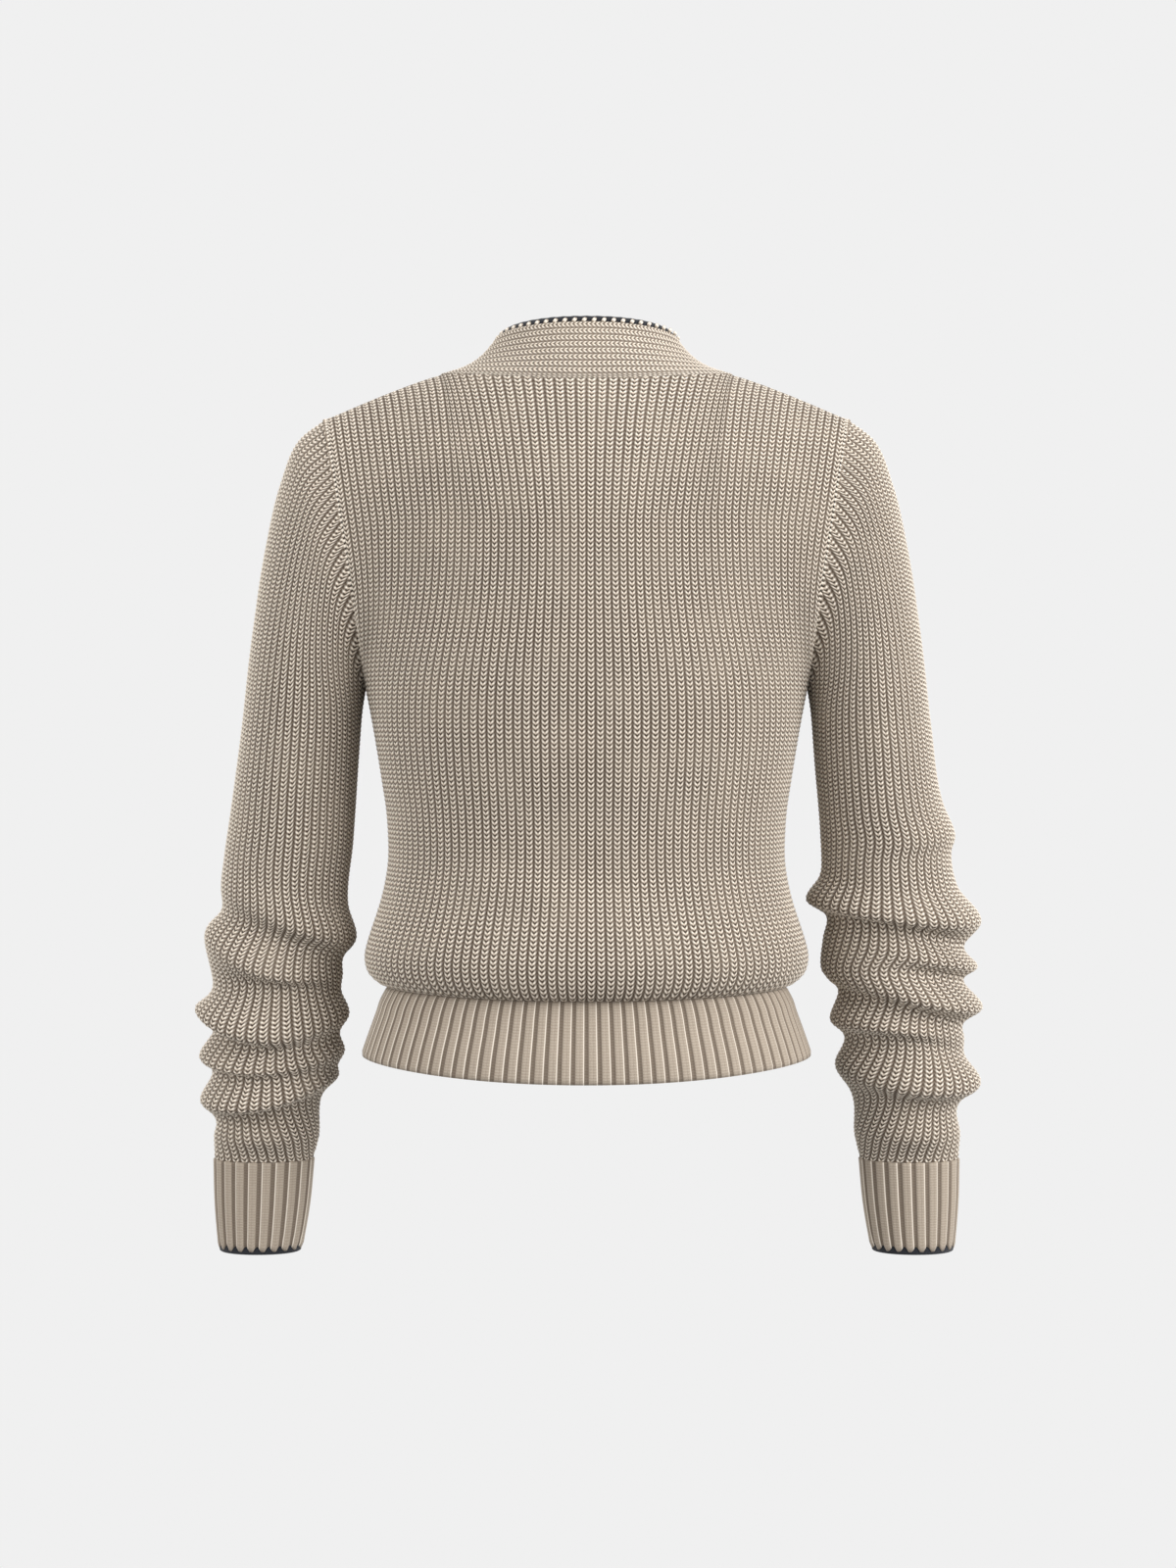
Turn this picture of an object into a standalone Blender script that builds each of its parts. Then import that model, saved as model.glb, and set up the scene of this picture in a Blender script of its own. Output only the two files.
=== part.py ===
"""A hollow, buttoned, rib-knit cardigan as it is worn: arms hanging a little out and forward.

The origin is the middle of the neck's base, level with the points where shoulder seams and neck meet. +Z is
up, the front faces -Y, and +X is the wearer's left. All sizes below are in millimetres; meshes are in metres.
"""

import math

import bmesh
import bpy
import numpy as np

MM = 0.001

# Cloth
WALL = 2.4
BODY_RIB_HEIGHT = 1.2
BAND_RIB_HEIGHT = 0.9
SEAM = 0.4  # each panel's edge stands this far from the plane of its seam
BAND_GAP = 0.9
SLEEVE_GAP = 0.9
UNDERARM_GAP = 1.6
BUTTON_GAP = 0.4

# Ribs, counted over one panel
BODY_RIBS = 66
HEM_RIBS = 48
CUFF_RIBS = 20
BAND_RIBS = 8

# Shoulders, neck and armholes
NECK_HALF = 104.0
BACK_NECK_DEPTH = 55.0
BACK_NECK_DROP = 10.0
SHOULDER_X = 186.3
SHOULDER_DROP = 32.0
V_BOTTOM = -196.0
FRONT_EDGE = 25.0
ARM_CENTRE = (171.7, -127.5)
ARM_HALF = (14.6, 95.5)
ARM_DEPTH = {"back": 50.0, "front": 48.0}
ARM_BOW = {"back": 4.0, "front": 8.0}
NECK_SHARE = {"back": 0.58, "front": 0.47}  # share of a half panel's ribs that end at the neckline
NECK_FULLNESS = {"back": 0.45, "front": 0.15}
BLADE_DEPTH = {"back": 104.0, "front": 107.0}
SECTION_POWER = 2.3

# Button band and neckband, one strip
BAND_FRONT_WIDTH = 43.0
BAND_NECK_WIDTH = 50.0
TIPPING_WIDTH = 3.0
TIPPING_GAP = 0.5
TIPPING_LIFT = 0.4
OVERLAP_LIFT = 4.2
RAMP = 4.0  # the upper strip climbs over the lower one's edge within this width
BAND_HOLLOW = 4.2  # how far the strip's middle dips between its edges over the shoulder
HOLLOW_MIDDLE = 2.1
HOLLOW_REACH = 0.75
BUTTON_RADIUS = 9.0
BUTTON_HEIGHT = 3.2
BUTTON_LEVELS = [-212.0 - 64.0 * step for step in range(5)]
BUTTON_SIDES = 16
BUTTON_RIM = 0.8
HOLE_RADIUS = 1.1
HOLE_AWAY = 2.4  # from the button's middle
HOLE_SIDES = 5
SHARP_ANGLE = 50.0  # edges sharper than this many degrees stay sharp in the shading

KNIT = ((0.578, 0.503, 0.413), 0.95)
TIPPING = ((0.017, 0.019, 0.023), 0.9)
HORN = ((0.035, 0.026, 0.02), 0.35)


def table(names, rows):
    """A table's columns by name."""
    return {name: np.array([row[i] for row in rows], float) for i, name in enumerate(names.split())}


# Sections of the body from the seam over the hem, where the cloth rolls under, up to the armhole. z is the
# level at the middle of the front; dip lowers the middle of the back, and rise lifts the sides.
BODY = table("row z side back front dip rise", [
    (0, -435.0, 141.5, 101.5, 99.0, 4.0, 0.0),
    (1, -432.5, 146.8, 107.5, 103.5, 4.0, 0.0),
    (2, -425.0, 154.9, 112.5, 108.0, 3.5, 0.0),
    (3, -412.0, 157.2, 114.5, 109.5, 2.5, 0.0),
    (4, -392.0, 151.6, 110.5, 106.5, 1.2, 0.0),
    (5, -372.0, 145.3, 105.5, 103.0, 0.5, 0.0),
    (6, -345.0, 140.7, 102.0, 101.0, 0.0, 0.0),
    (7, -310.0, 142.1, 103.0, 102.0, 0.0, 0.0),
    (8, -275.0, 147.2, 106.5, 103.5, 0.0, 0.0),
    (9, -245.0, 152.4, 109.5, 105.0, 0.0, 0.0),
    (10, -223.0, 157.1, 112.0, 106.0, 0.0, 0.0),
])
BODY_ROWS = (0, 1, 3, 4, 6, 8, 10)
YOKE_ANGLES = (150, 120, 90, 60, 30, 0)  # degrees round the armhole, from below up to the shoulder

# Sections of the welt below it
HEM = table("row z side back front dip rise", [
    (0, -435.7, 140.8, 100.5, 98.0, 4.0, 0.0),
    (1, -447.0, 146.2, 103.5, 100.5, 4.0, 1.5),
    (2, -457.0, 148.9, 106.0, 102.5, 3.8, 3.3),
    (3, -475.0, 154.6, 110.5, 105.5, 3.4, 5.5),
    (4, -491.5, 159.6, 112.5, 107.0, 3.0, 7.5),
])
HEM_ROWS = (0, 2, 4)

# The front edge of both, where the stiffer button band keeps the cloth from swelling.
BAND_LINE = table("z depth", [
    (-491.5, 106.5), (-460.0, 102.5), (-436.8, 100.5), (-412.0, 102.0), (-345.0, 101.5), (-275.0, 104.0),
    (-196.0, 107.0),
])

# Rows of a sleeve: x and z where it passes the outer and the inner outline, z at the middle of the back, half
# the depth, and the middle's y. Below the elbow a fold has two rows, the ridge that hangs over and the tuck
# beneath it.
SLEEVE_COLUMNS = "outer_x outer_z mid_z inner_x inner_z depth middle"
UPPER_SLEEVE = [
    (205.0, -46.5, -136.0, 158.6, -226.0, 51.0, 0.5),
    (219.0, -80.0, -155.0, 159.0, -230.0, 52.0, 0.5),
    (228.6, -122.0, -178.5, 159.6, -235.0, 53.0, 0.0),
    (238.3, -185.0, -215.0, 160.8, -245.0, 53.0, -1.0),
    (246.0, -250.0, -264.0, 163.3, -277.0, 52.0, -3.0),
]
LEFT_SLEEVE = table(SLEEVE_COLUMNS, UPPER_SLEEVE + [
    (254.5, -312.0, -325.0, 167.2, -333.0, 50.5, -5.0),
    (261.6, -366.0, -389.0, 165.6, -403.5, 49.5, -7.0),
    (261.1, -381.0, -402.0, 173.9, -415.8, 47.5, -7.8),
    (273.5, -397.6, -420.0, 175.0, -428.5, 50.5, -8.5),
    (267.9, -436.1, -432.0, 176.1, -440.3, 45.5, -9.2),
    (280.1, -452.9, -466.0, 170.7, -457.8, 50.5, -9.8),
    (267.1, -468.3, -479.0, 177.2, -471.1, 44.0, -10.4),
    (277.8, -485.1, -490.5, 173.7, -483.0, 48.0, -10.8),
    (268.7, -497.7, -498.0, 178.3, -493.0, 43.5, -11.0),
    (277.0, -517.3, -515.0, 179.1, -502.5, 45.5, -11.3),
    (267.9, -529.9, -524.5, 188.9, -514.0, 37.5, -11.6),
    (267.6, -545.0, -545.0, 192.4, -545.0, 33.0, -12.0),
    (267.0, -560.3, -560.3, 196.5, -560.3, 25.8, -12.0),
])
RIGHT_SLEEVE = table(SLEEVE_COLUMNS, UPPER_SLEEVE + [
    (255.0, -306.0, -314.0, 166.8, -316.0, 51.0, -5.0),
    (263.6, -328.7, -334.3, 167.7, -330.0, 50.5, -5.5),
    (261.0, -340.5, -345.0, 168.4, -344.0, 49.5, -6.0),
    (282.5, -388.9, -386.5, 157.9, -374.5, 52.0, -7.5),
    (270.4, -410.0, -396.5, 171.9, -387.8, 46.0, -8.2),
    (280.2, -420.5, -411.5, 169.8, -402.0, 48.0, -8.6),
    (270.1, -434.0, -425.1, 168.0, -421.0, 47.0, -9.0),
    (283.6, -450.4, -440.5, 173.3, -431.9, 49.5, -9.5),
    (270.6, -464.0, -451.5, 180.8, -441.5, 44.0, -9.9),
    (270.9, -474.0, -464.0, 174.9, -459.5, 46.5, -10.2),
    (270.6, -484.4, -474.0, 184.3, -471.8, 43.0, -10.5),
    (281.5, -507.5, -504.5, 179.6, -496.3, 44.5, -11.0),
    (268.6, -520.1, -514.5, 189.6, -513.0, 37.0, -11.5),
    (268.3, -543.9, -544.0, 192.7, -543.9, 33.0, -12.0),
    (267.0, -560.3, -560.3, 196.5, -560.3, 25.8, -12.0),
])
SLEEVE_POINTS = 24
CUFF = table("row z half middle depth", [
    (0, -561.2, 35.3, 231.75, 25.8),
    (1, -592.0, 33.4, 232.8, 24.6),
    (2, -623.2, 29.4, 234.2, 22.4),
])
CUFF_EDGE = table("row z half middle depth", [(0, -623.9, 29.4, 234.2, 22.4), (1, -626.9, 29.3, 234.3, 22.3)])
CUFF_Y = -12.0


def through(knots, values, at):
    """A smooth curve through values at rising knots."""
    at = np.asarray(at, float)
    slopes = np.gradient(values, knots)
    cell = np.clip(np.searchsorted(knots, at) - 1, 0, len(knots) - 2)
    step = knots[cell + 1] - knots[cell]
    r = (at - knots[cell]) / step
    start = values[cell] * (1 + 2 * r) * (1 - r) ** 2 + slopes[cell] * step * r * (1 - r) ** 2
    end = values[cell + 1] * r * r * (3 - 2 * r) - slopes[cell + 1] * step * r * r * (1 - r)
    return start + end


def ease(x):
    x = np.clip(x, 0.0, 1.0)
    return x * x * (3 - 2 * x)


def spaced(points, shares):
    """Points at the given shares of a fine polyline's length."""
    length = np.concatenate([[0.0], np.cumsum(np.linalg.norm(np.diff(points, axis=0), axis=1))])
    at = np.asarray(shares) * length[-1]
    return np.stack([np.interp(at, length, points[:, i]) for i in range(3)], axis=1)


def unit(vectors):
    return vectors / np.linalg.norm(vectors, axis=-1, keepdims=True)


def band_depth(z):
    return through(BAND_LINE["z"], BAND_LINE["depth"], z)


# ---- The body's surface. share runs from 0 at the middle of a half panel to 1 at its side seam or armhole.


def sideways(side, edge_x):
    """Fine steps across a half panel, closer together toward the side."""
    inner = FRONT_EDGE if side == "front" else 0.0
    turn = np.linspace(0.0, 1.0, 400) * math.pi / 2
    return inner + (edge_x - inner) * np.sin(turn) ** (2 / SECTION_POWER)


def beside_band(side, depth, x, z):
    """The front's depth, drawn to the button band's line close to the band."""
    if side == "back":
        return np.full_like(x, depth)
    near = 1 - ease((x - FRONT_EDGE) / 55.0)
    return depth + (band_depth(z) - depth) * near


def section(side, sizes, row):
    """One level ring of the body or welt, from the middle to the side seam."""
    z = float(through(sizes["row"], sizes["z"], row))
    edge = float(through(sizes["row"], sizes["side"], row))
    depth = float(through(sizes["row"], sizes[side], row))
    dip = float(through(sizes["row"], sizes["dip"], row)) if side == "back" else 0.0
    rise = float(through(sizes["row"], sizes["rise"], row))
    x = sideways(side, edge)
    part = np.clip(1 - (x / edge) ** SECTION_POWER, 0, 1) ** (1 / SECTION_POWER)
    y = SEAM + (beside_band(side, depth, x, z) - SEAM) * part
    level = z - dip * (1 - (x / edge) ** 2) + rise * (x / edge) ** 2
    return np.stack([x, y if side == "back" else -y, level], axis=1)


def armhole(side, angle):
    """The armhole at an angle from the shoulder (0) round to the underarm (180 degrees)."""
    x = ARM_CENTRE[0] + ARM_HALF[0] * math.cos(angle) - ARM_BOW[side] * math.sin(angle)
    y = SEAM + (ARM_DEPTH[side] - SEAM) * math.sin(angle)
    return x, y, ARM_CENTRE[1] + ARM_HALF[1] * math.cos(angle)


def chest_row(side, angle):
    """A row that ends on the lower half of the armhole."""
    edge_x, edge_y, edge_z = armhole(side, angle)
    up = (math.pi - angle) / (math.pi / 2)
    top = -127.5 if side == "back" else V_BOTTOM - 8.0
    middle_z = BODY["z"][-1] + (top - BODY["z"][-1]) * up
    depth = BODY[side][-1] + (BLADE_DEPTH[side] - BODY[side][-1]) * up
    x = sideways(side, edge_x)
    s = x / edge_x
    round_section = np.clip(1 - s ** SECTION_POWER, 0, 1) ** (1 / SECTION_POWER)
    soft_section = 0.5 * (1 - s ** 2.2) + 0.5 * np.cos(math.pi * s / 2) ** 2
    blend = float(ease(up))
    part = round_section * (1 - blend) + soft_section * blend
    y = edge_y + (beside_band(side, depth, x, middle_z) - edge_y) * part
    z = middle_z + (edge_z - middle_z) * s ** 2
    return np.stack([x, y if side == "back" else -y, z], axis=1)


def neckline(side, r):
    """The panel's neck edge, from the middle (back) or the end of the V (front) to the shoulder."""
    turn = np.asarray(r, float) * math.pi / 2
    if side == "back":
        x = NECK_HALF * np.sin(turn)
        inside = np.clip(1 - (x / NECK_HALF) ** 2.2, 0, 1) ** 0.6
        drop = -BACK_NECK_DROP * (1 - (x / NECK_HALF) ** 2)
        return np.stack([x, SEAM + (BACK_NECK_DEPTH - SEAM) * inside, drop], axis=-1)
    x = FRONT_EDGE + (NECK_HALF - FRONT_EDGE) * np.sin(turn) ** 1.35
    y = -SEAM - (BAND_LINE["depth"][-1] - SEAM) * (1 - (turn * 2 / math.pi) ** 2)
    return np.stack([x, y, V_BOTTOM * (1 - turn * 2 / math.pi) ** 1.5], axis=-1)


def top_edge(side, share):
    """Neckline and shoulder seam, rib by rib."""
    neck = NECK_SHARE[side]
    fine = neckline(side, np.linspace(0, 1, 400))
    points = spaced(fine, np.clip(share / neck, 0, 1))
    out = np.clip((share - neck) / (1 - neck), 0, 1)
    on_shoulder = share > neck
    seam_y = SEAM if side == "back" else -SEAM
    shoulder = np.stack([NECK_HALF + (SHOULDER_X - NECK_HALF) * out, np.full_like(out, seam_y),
                         -SHOULDER_DROP * out ** 1.15], axis=1)
    return np.where(on_shoulder[:, None], shoulder, points)


def yoke_row(side, angle, share):
    """A row over the upper armhole: quarter arcs at the armhole, easing to flatter curves toward the neck."""
    low = spaced(chest_row(side, math.pi / 2), share)
    top = top_edge(side, share)
    bow = ARM_BOW[side]
    along = (ARM_HALF[0] * math.cos(angle) + bow * (1 - math.sin(angle))) / (ARM_HALF[0] + bow)
    arc = low + (top - low) * np.array([along, 1 - math.sin(angle), math.cos(angle)])
    neck = NECK_SHARE[side]
    fullness = NECK_FULLNESS[side] + (1 - NECK_FULLNESS[side]) * np.clip(share / neck, 0, 1) ** 3
    corner = np.stack([(low[:, 0] + top[:, 0]) / 2, low[:, 1], top[:, 2]], axis=1)
    guide = (low + top) / 2 + (corner - (low + top) / 2) * fullness[:, None]
    r = angle / (math.pi / 2)
    curve = top * (1 - r) ** 2 + guide * 2 * r * (1 - r) + low * r * r
    toward_arm = ease((share - neck * 0.8) / (1 - neck * 0.8))[:, None]
    return curve + (arc - curve) * toward_arm


def body_grid(side, share):
    """All rows of a half panel, bottom to top."""
    rows = [spaced(section(side, BODY, row), share) for row in BODY_ROWS]
    for degrees in YOKE_ANGLES:
        angle = math.radians(degrees)
        rows.append(yoke_row(side, angle, share) if degrees < 90 else spaced(chest_row(side, angle), share))
    return np.array(rows)


def hem_grid(side, share):
    return np.array([spaced(section(side, HEM, row), share) for row in HEM_ROWS[::-1]])


# ---- Walls


def outward(grid, closed, inside):
    """Unit normals of a grid of points, turned away from the given inner point of each row."""
    if closed:
        across = np.roll(grid, -1, axis=1) - np.roll(grid, 1, axis=1)
    else:
        across = np.gradient(grid, axis=1)
    normals = unit(np.cross(across, np.gradient(grid, axis=0)))
    side = np.einsum("rci,rci->rc", normals, grid - inside[:, None, :])
    return normals * (1.0 if side.sum() > 0 else -1.0)


def squared(normals, plane, weight):
    """Normals turned into a seam's plane, so that both pieces end square to each other."""
    flat = normals - (normals @ plane)[..., None] * plane * np.asarray(weight)[..., None]
    return unit(flat)


def strip(inner, outer, flip):
    """Triangles between two rows of vertices that may differ in number."""
    faces = []
    i = j = 0
    while i < len(inner) - 1 or j < len(outer) - 1:
        outer_is_behind = (j + 1) * (len(inner) - 1) <= (i + 1) * (len(outer) - 1)
        if j < len(outer) - 1 and (i == len(inner) - 1 or outer_is_behind):
            faces.append((inner[i], outer[j], outer[j + 1]))
            j += 1
        else:
            faces.append((inner[i], outer[j], inner[i + 1]))
            i += 1
    return [face[::-1] for face in faces] if flip else faces


def sheet_faces(numbers, closed, flip):
    faces = []
    rows, columns = numbers.shape
    for r in range(rows - 1):
        for c in range(columns if closed else columns - 1):
            n = (c + 1) % columns
            quad = (numbers[r, c], numbers[r, n], numbers[r + 1, n], numbers[r + 1, c])
            faces.append(quad[::-1] if flip else quad)
    return faces


def wall(name, outer, inner, finish, closed=False):
    """One closed body between an outer grid and a sparser inner grid with as many rows."""
    rows = outer.shape[0]
    outer_numbers = np.arange(outer.shape[0] * outer.shape[1]).reshape(outer.shape[:2])
    inner_numbers = np.arange(inner.shape[0] * inner.shape[1]).reshape(inner.shape[:2]) + outer_numbers.size
    faces = sheet_faces(outer_numbers, closed, False) + sheet_faces(inner_numbers, closed, True)
    for r, flip in ((0, False), (rows - 1, True)):
        row_in = list(inner_numbers[r])
        row_out = list(outer_numbers[r])
        if closed:
            row_in.append(row_in[0])
            row_out.append(row_out[0])
        faces += strip(row_in, row_out, not flip)
    if not closed:
        faces += strip(list(inner_numbers[:, 0]), list(outer_numbers[:, 0]), False)
        faces += strip(list(inner_numbers[:, -1]), list(outer_numbers[:, -1]), True)
    points = np.concatenate([outer.reshape(-1, 3), inner.reshape(-1, 3)]) * MM
    mesh = bpy.data.meshes.new(name)
    mesh.from_pydata([tuple(p) for p in points], [], [tuple(int(i) for i in face) for face in faces])
    bm = bmesh.new()
    bm.from_mesh(mesh)
    bmesh.ops.recalc_face_normals(bm, faces=bm.faces)
    bmesh.ops.triangulate(bm, faces=bm.faces)
    bm.to_mesh(mesh)
    bm.free()
    return add(name, mesh, finish)


def ribs(count, height):
    """Two steps to a rib: valley, crest, valley, and so on."""
    return np.where(np.arange(2 * count + 1) % 2 == 1, height, 0.0)


def own_material(name, finish):
    """A material of the sub-part's own, from its colour and roughness."""
    material = bpy.data.materials.new(name)
    material.use_nodes = True
    shader = material.node_tree.nodes["Principled BSDF"]
    colour, roughness = finish
    shader.inputs["Base Color"].default_value = (*colour, 1.0)
    shader.inputs["Roughness"].default_value = roughness
    shader.inputs["Metallic"].default_value = 0.0
    material.diffuse_color = (*colour, 1.0)
    return material


def add(name, mesh, finish):
    obj = bpy.data.objects.new(name, mesh)
    parts.objects.link(obj)
    mesh.materials.append(own_material(name, finish))
    mesh.shade_smooth()
    mesh.set_sharp_from_angle(angle=math.radians(SHARP_ANGLE))
    return obj


ACROSS = np.array([1.0, 0.0, 0.0])
FACING = np.array([0.0, 1.0, 0.0])
UP = np.array([0.0, 0.0, 1.0])
ARM_PLANE = np.array([ARM_HALF[1], 0.0, -ARM_HALF[0]]) / math.hypot(*ARM_HALF)


def mirrored(grid):
    return grid * np.array([-1.0, 1.0, 1.0])


def half_normals(side, grid, share, welt):
    """Normals of a half panel, squared at its middle, side seam, shoulder seam and upper armhole."""
    centre = np.zeros((len(grid), 3))
    centre[:, 2] = grid[:, :, 2].min(axis=1)
    normals = outward(grid, False, centre)
    low_rows = len(grid) if welt else len(BODY_ROWS)
    if side == "back":
        normals[:, 0] = squared(normals[:, 0], ACROSS, np.ones(len(grid)))
    else:
        normals[:, 0] = -FACING
    normals[:low_rows, -1] = squared(normals[:low_rows, -1], FACING, np.ones(low_rows))
    if not welt:
        normals[-1] = squared(normals[-1], FACING, (share >= NECK_SHARE[side]).astype(float))
        for column in np.flatnonzero(share < NECK_SHARE[side]):
            normals[-1, column] = band_frame(neck_stop(side, share[column]))[1]
        upper = ease(np.cos(np.radians(YOKE_ANGLES)) / 0.35)
        normals[low_rows:, -1] = squared(normals[low_rows:, -1], ARM_PLANE, upper)
    return normals


def panel(name, side, make_grid, count, height, welt, mirror):
    """A ribbed panel: the back whole, a front as one half."""
    half = count // 2
    share_out = np.linspace(0, 1, 2 * half + 1)
    share_in = np.linspace(0, 1, half // 3 + 1)
    raised = ribs(half, height)
    grid = make_grid(side, share_out)
    lift = np.tile(raised, (len(grid), 1))
    lift[0] = 0.0
    lift[-1] = 0.0
    outer = grid + half_normals(side, grid, share_out, welt) * lift[:, :, None]
    plain = make_grid(side, share_in)
    inner = plain - half_normals(side, plain, share_in, welt) * WALL
    if side == "back":
        outer = np.concatenate([mirrored(outer)[:, :0:-1], outer], axis=1)
        inner = np.concatenate([mirrored(inner)[:, :0:-1], inner], axis=1)
    elif mirror:
        outer = mirrored(outer)
        inner = mirrored(inner)
    return wall(name, outer, inner, KNIT)


def armhole_ring(angles):
    """The armhole as the panels' rows cut it, straight from row to row."""
    stops = np.radians([180, *YOKE_ANGLES])
    points = []
    for angle in angles:
        side = "back" if angle <= math.pi else "front"
        from_top = angle if angle <= math.pi else 2 * math.pi - angle
        corners = np.array([armhole(side, stop) for stop in stops[::-1]])
        x, y, z = (np.interp(from_top, stops[::-1], corners[:, i]) for i in range(3))
        points.append((x, y if side == "back" else -y, z))
    return np.array(points)


def sleeve_rings(rows, sign):
    """Rings of a sleeve from the armhole to the cuff; angle 0 is the outer side, and the back comes next."""
    angles = np.linspace(0, 2 * math.pi, SLEEVE_POINTS, endpoint=False)
    gap = SLEEVE_GAP + (UNDERARM_GAP - SLEEVE_GAP) * (1 - np.cos(angles)) / 2
    rings = [armhole_ring(angles) + ARM_PLANE * gap[:, None]]
    for number in range(len(rows["depth"])):
        values = (rows[key][number] for key in SLEEVE_COLUMNS.split())
        outer_x, outer_z, mid_z, inner_x, inner_z, depth, middle = values
        near = 1 + np.cos(angles)
        x = inner_x + (outer_x - inner_x) * near / 2
        z = inner_z + (outer_z - inner_z) * near / 2
        z = z + (mid_z - (outer_z + inner_z) / 2) * np.sin(angles) ** 2
        bow = np.where(np.sin(angles) > 0, ARM_BOW["back"], ARM_BOW["front"]) * max(0.0, 0.6 - 0.25 * number)
        rings.append(np.stack([x - bow * abs(np.sin(angles)), middle + depth * np.sin(angles), z], axis=1))
    return np.array(rings) * np.array([sign, 1.0, 1.0])


def sleeve(name, rows, sign):
    rings = sleeve_rings(rows, sign)
    normals = outward(rings, True, rings.mean(axis=1))
    cosine = np.cos(np.linspace(0, 2 * math.pi, SLEEVE_POINTS, endpoint=False))
    plane = ARM_PLANE * np.array([sign, 1.0, 1.0])
    normals[0] = squared(normals[0], plane, ease(cosine / 0.35))
    normals[-1] = squared(normals[-1], UP, np.ones(SLEEVE_POINTS))
    return wall(name, rings, rings - normals * WALL, KNIT, closed=True)


def cuff_rings(sizes, sign, count):
    angles = np.linspace(0, 2 * math.pi, count, endpoint=False)
    rings = []
    for z, half, middle, depth in zip(sizes["z"], sizes["half"], sizes["middle"], sizes["depth"]):
        rings.append(np.stack([sign * (middle + half * np.cos(angles)), CUFF_Y + depth * np.sin(angles),
                               np.full(count, z)], axis=1))
    return np.array(rings)


def cuff(name, sizes, sign, count, height, finish):
    """A ring of level cloth, ribbed outside and plain inside."""
    outer = cuff_rings(sizes, sign, 2 * count)
    raised = np.tile(ribs(count, height)[:-1], (len(outer), 1))
    inner = cuff_rings(sizes, sign, count)
    outer = outer + level_normals(outer) * raised[:, :, None]
    return wall(name, outer, inner - level_normals(inner) * WALL, finish, closed=True)


def level_normals(rings):
    normals = outward(rings, True, rings.mean(axis=1))
    return squared(normals, UP, np.ones(rings.shape[:2]))


# ---- The band. s runs from 0 at the hem to 1 at the end of the V, 2 at the shoulder and 3 behind the neck.

BAND_STOPS = (0.0, 0.11, 0.185, 0.27, 0.5, 0.74, 0.96,
              1.0, 1.06, 1.14, 1.26, 1.4, 1.55, 1.7, 1.85, 2.0,
              2.2, 2.4, 2.6, 2.8, 3.0)
BAND_FACING = table("s x y z", [
    (0.0, 0.0, -1.0, 0.0),
    (1.0, 0.0, -1.0, 0.02),
    (1.5, 0.25, -0.75, 0.6),
    (2.0, 0.46, -0.02, 0.88),
    (2.4, 0.35, 0.63, 0.68),
    (3.0, 0.0, 0.93, 0.36),
    (3.6, -0.35, 0.63, 0.68),
])


def band_base(s):
    """The strip's seamed edge, on the wearer's left."""
    if s <= 1:
        z = HEM["z"][-1] + (V_BOTTOM - HEM["z"][-1]) * s
        return np.array([FRONT_EDGE, -float(band_depth(z)), z])
    if s <= 2:
        return neckline("front", s - 1)
    return neckline("back", 3 - s)


def band_frame(s):
    """Where the strip starts, which way it faces and which way its width runs."""
    before, after = band_base(max(s - 0.06, 0.0)), band_base(min(s + 0.06, 3.0))
    tangent = np.array([-1.0, 0.0, 0.0]) if s > 2.99 else unit(after - before)
    smooth = s > BAND_FACING["s"][3]
    facing = np.array([float(through(BAND_FACING["s"], BAND_FACING[axis], s)) if smooth
                       else float(np.interp(s, BAND_FACING["s"], BAND_FACING[axis])) for axis in "xyz"])
    facing = unit(facing - tangent * (facing @ tangent))
    return band_base(s), facing, np.cross(facing, tangent)


def neck_stop(side, share):
    """Where along the strip a panel's rib meets it."""
    r = np.linspace(0, 1, 400)
    length = np.concatenate([[0.0], np.cumsum(np.linalg.norm(np.diff(neckline(side, r), axis=0), axis=1))])
    at = float(np.interp(share / NECK_SHARE[side] * length[-1], length, r))
    return 1 + at if side == "front" else 3 - at


def band_width(s):
    return BAND_FRONT_WIDTH + (BAND_NECK_WIDTH - BAND_FRONT_WIDTH) * float(ease(s - 1))


def band_grid(reach, lift_of, lifted):
    """Rows along the strip from the left hem to the middle of the neck; reach is measured from the seam."""
    rows = []
    for s in BAND_STOPS:
        start, facing, across = band_frame(s)
        offsets = reach(band_width(s))
        over = OVERLAP_LIFT * (1 - float(ease((s - 1.25) / 0.35))) if lifted else 0.0
        hollow = BAND_HOLLOW * max(0.0, 1 - ((s - HOLLOW_MIDDLE) / HOLLOW_REACH) ** 2)
        dip = hollow * np.sin(math.pi * offsets / band_width(s))
        lift = over * ease((offsets - BAND_GAP) / RAMP) + lift_of(offsets) - dip
        rows.append(start + across * offsets[:, None] + facing * lift[:, None])
    return np.array(rows)


def whole_band(reach, lift_of):
    """Left half and right half in one run; the right one lies on top at the front."""
    left = band_grid(reach, lift_of, False)
    right = mirrored(band_grid(reach, lift_of, True))
    return np.concatenate([left, right[-2::-1]])


def rib_edge(width):
    return width - TIPPING_WIDTH - TIPPING_GAP


def inside(offsets):
    return np.full_like(offsets, -WALL)


def neckband():
    """The strip from its seam to the dark edge row, ribbed outside."""
    def rib_lines(width):
        return np.linspace(BAND_GAP, rib_edge(width), 2 * BAND_RIBS + 1)

    def plain_lines(width):
        return np.array([BAND_GAP, BAND_GAP + RAMP, 0.35 * width, 0.65 * width, rib_edge(width)])

    def crests(offsets):
        return ribs(BAND_RIBS, BAND_RIB_HEIGHT)

    return wall("neckband", whole_band(rib_lines, crests), whole_band(plain_lines, inside), KNIT)


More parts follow.
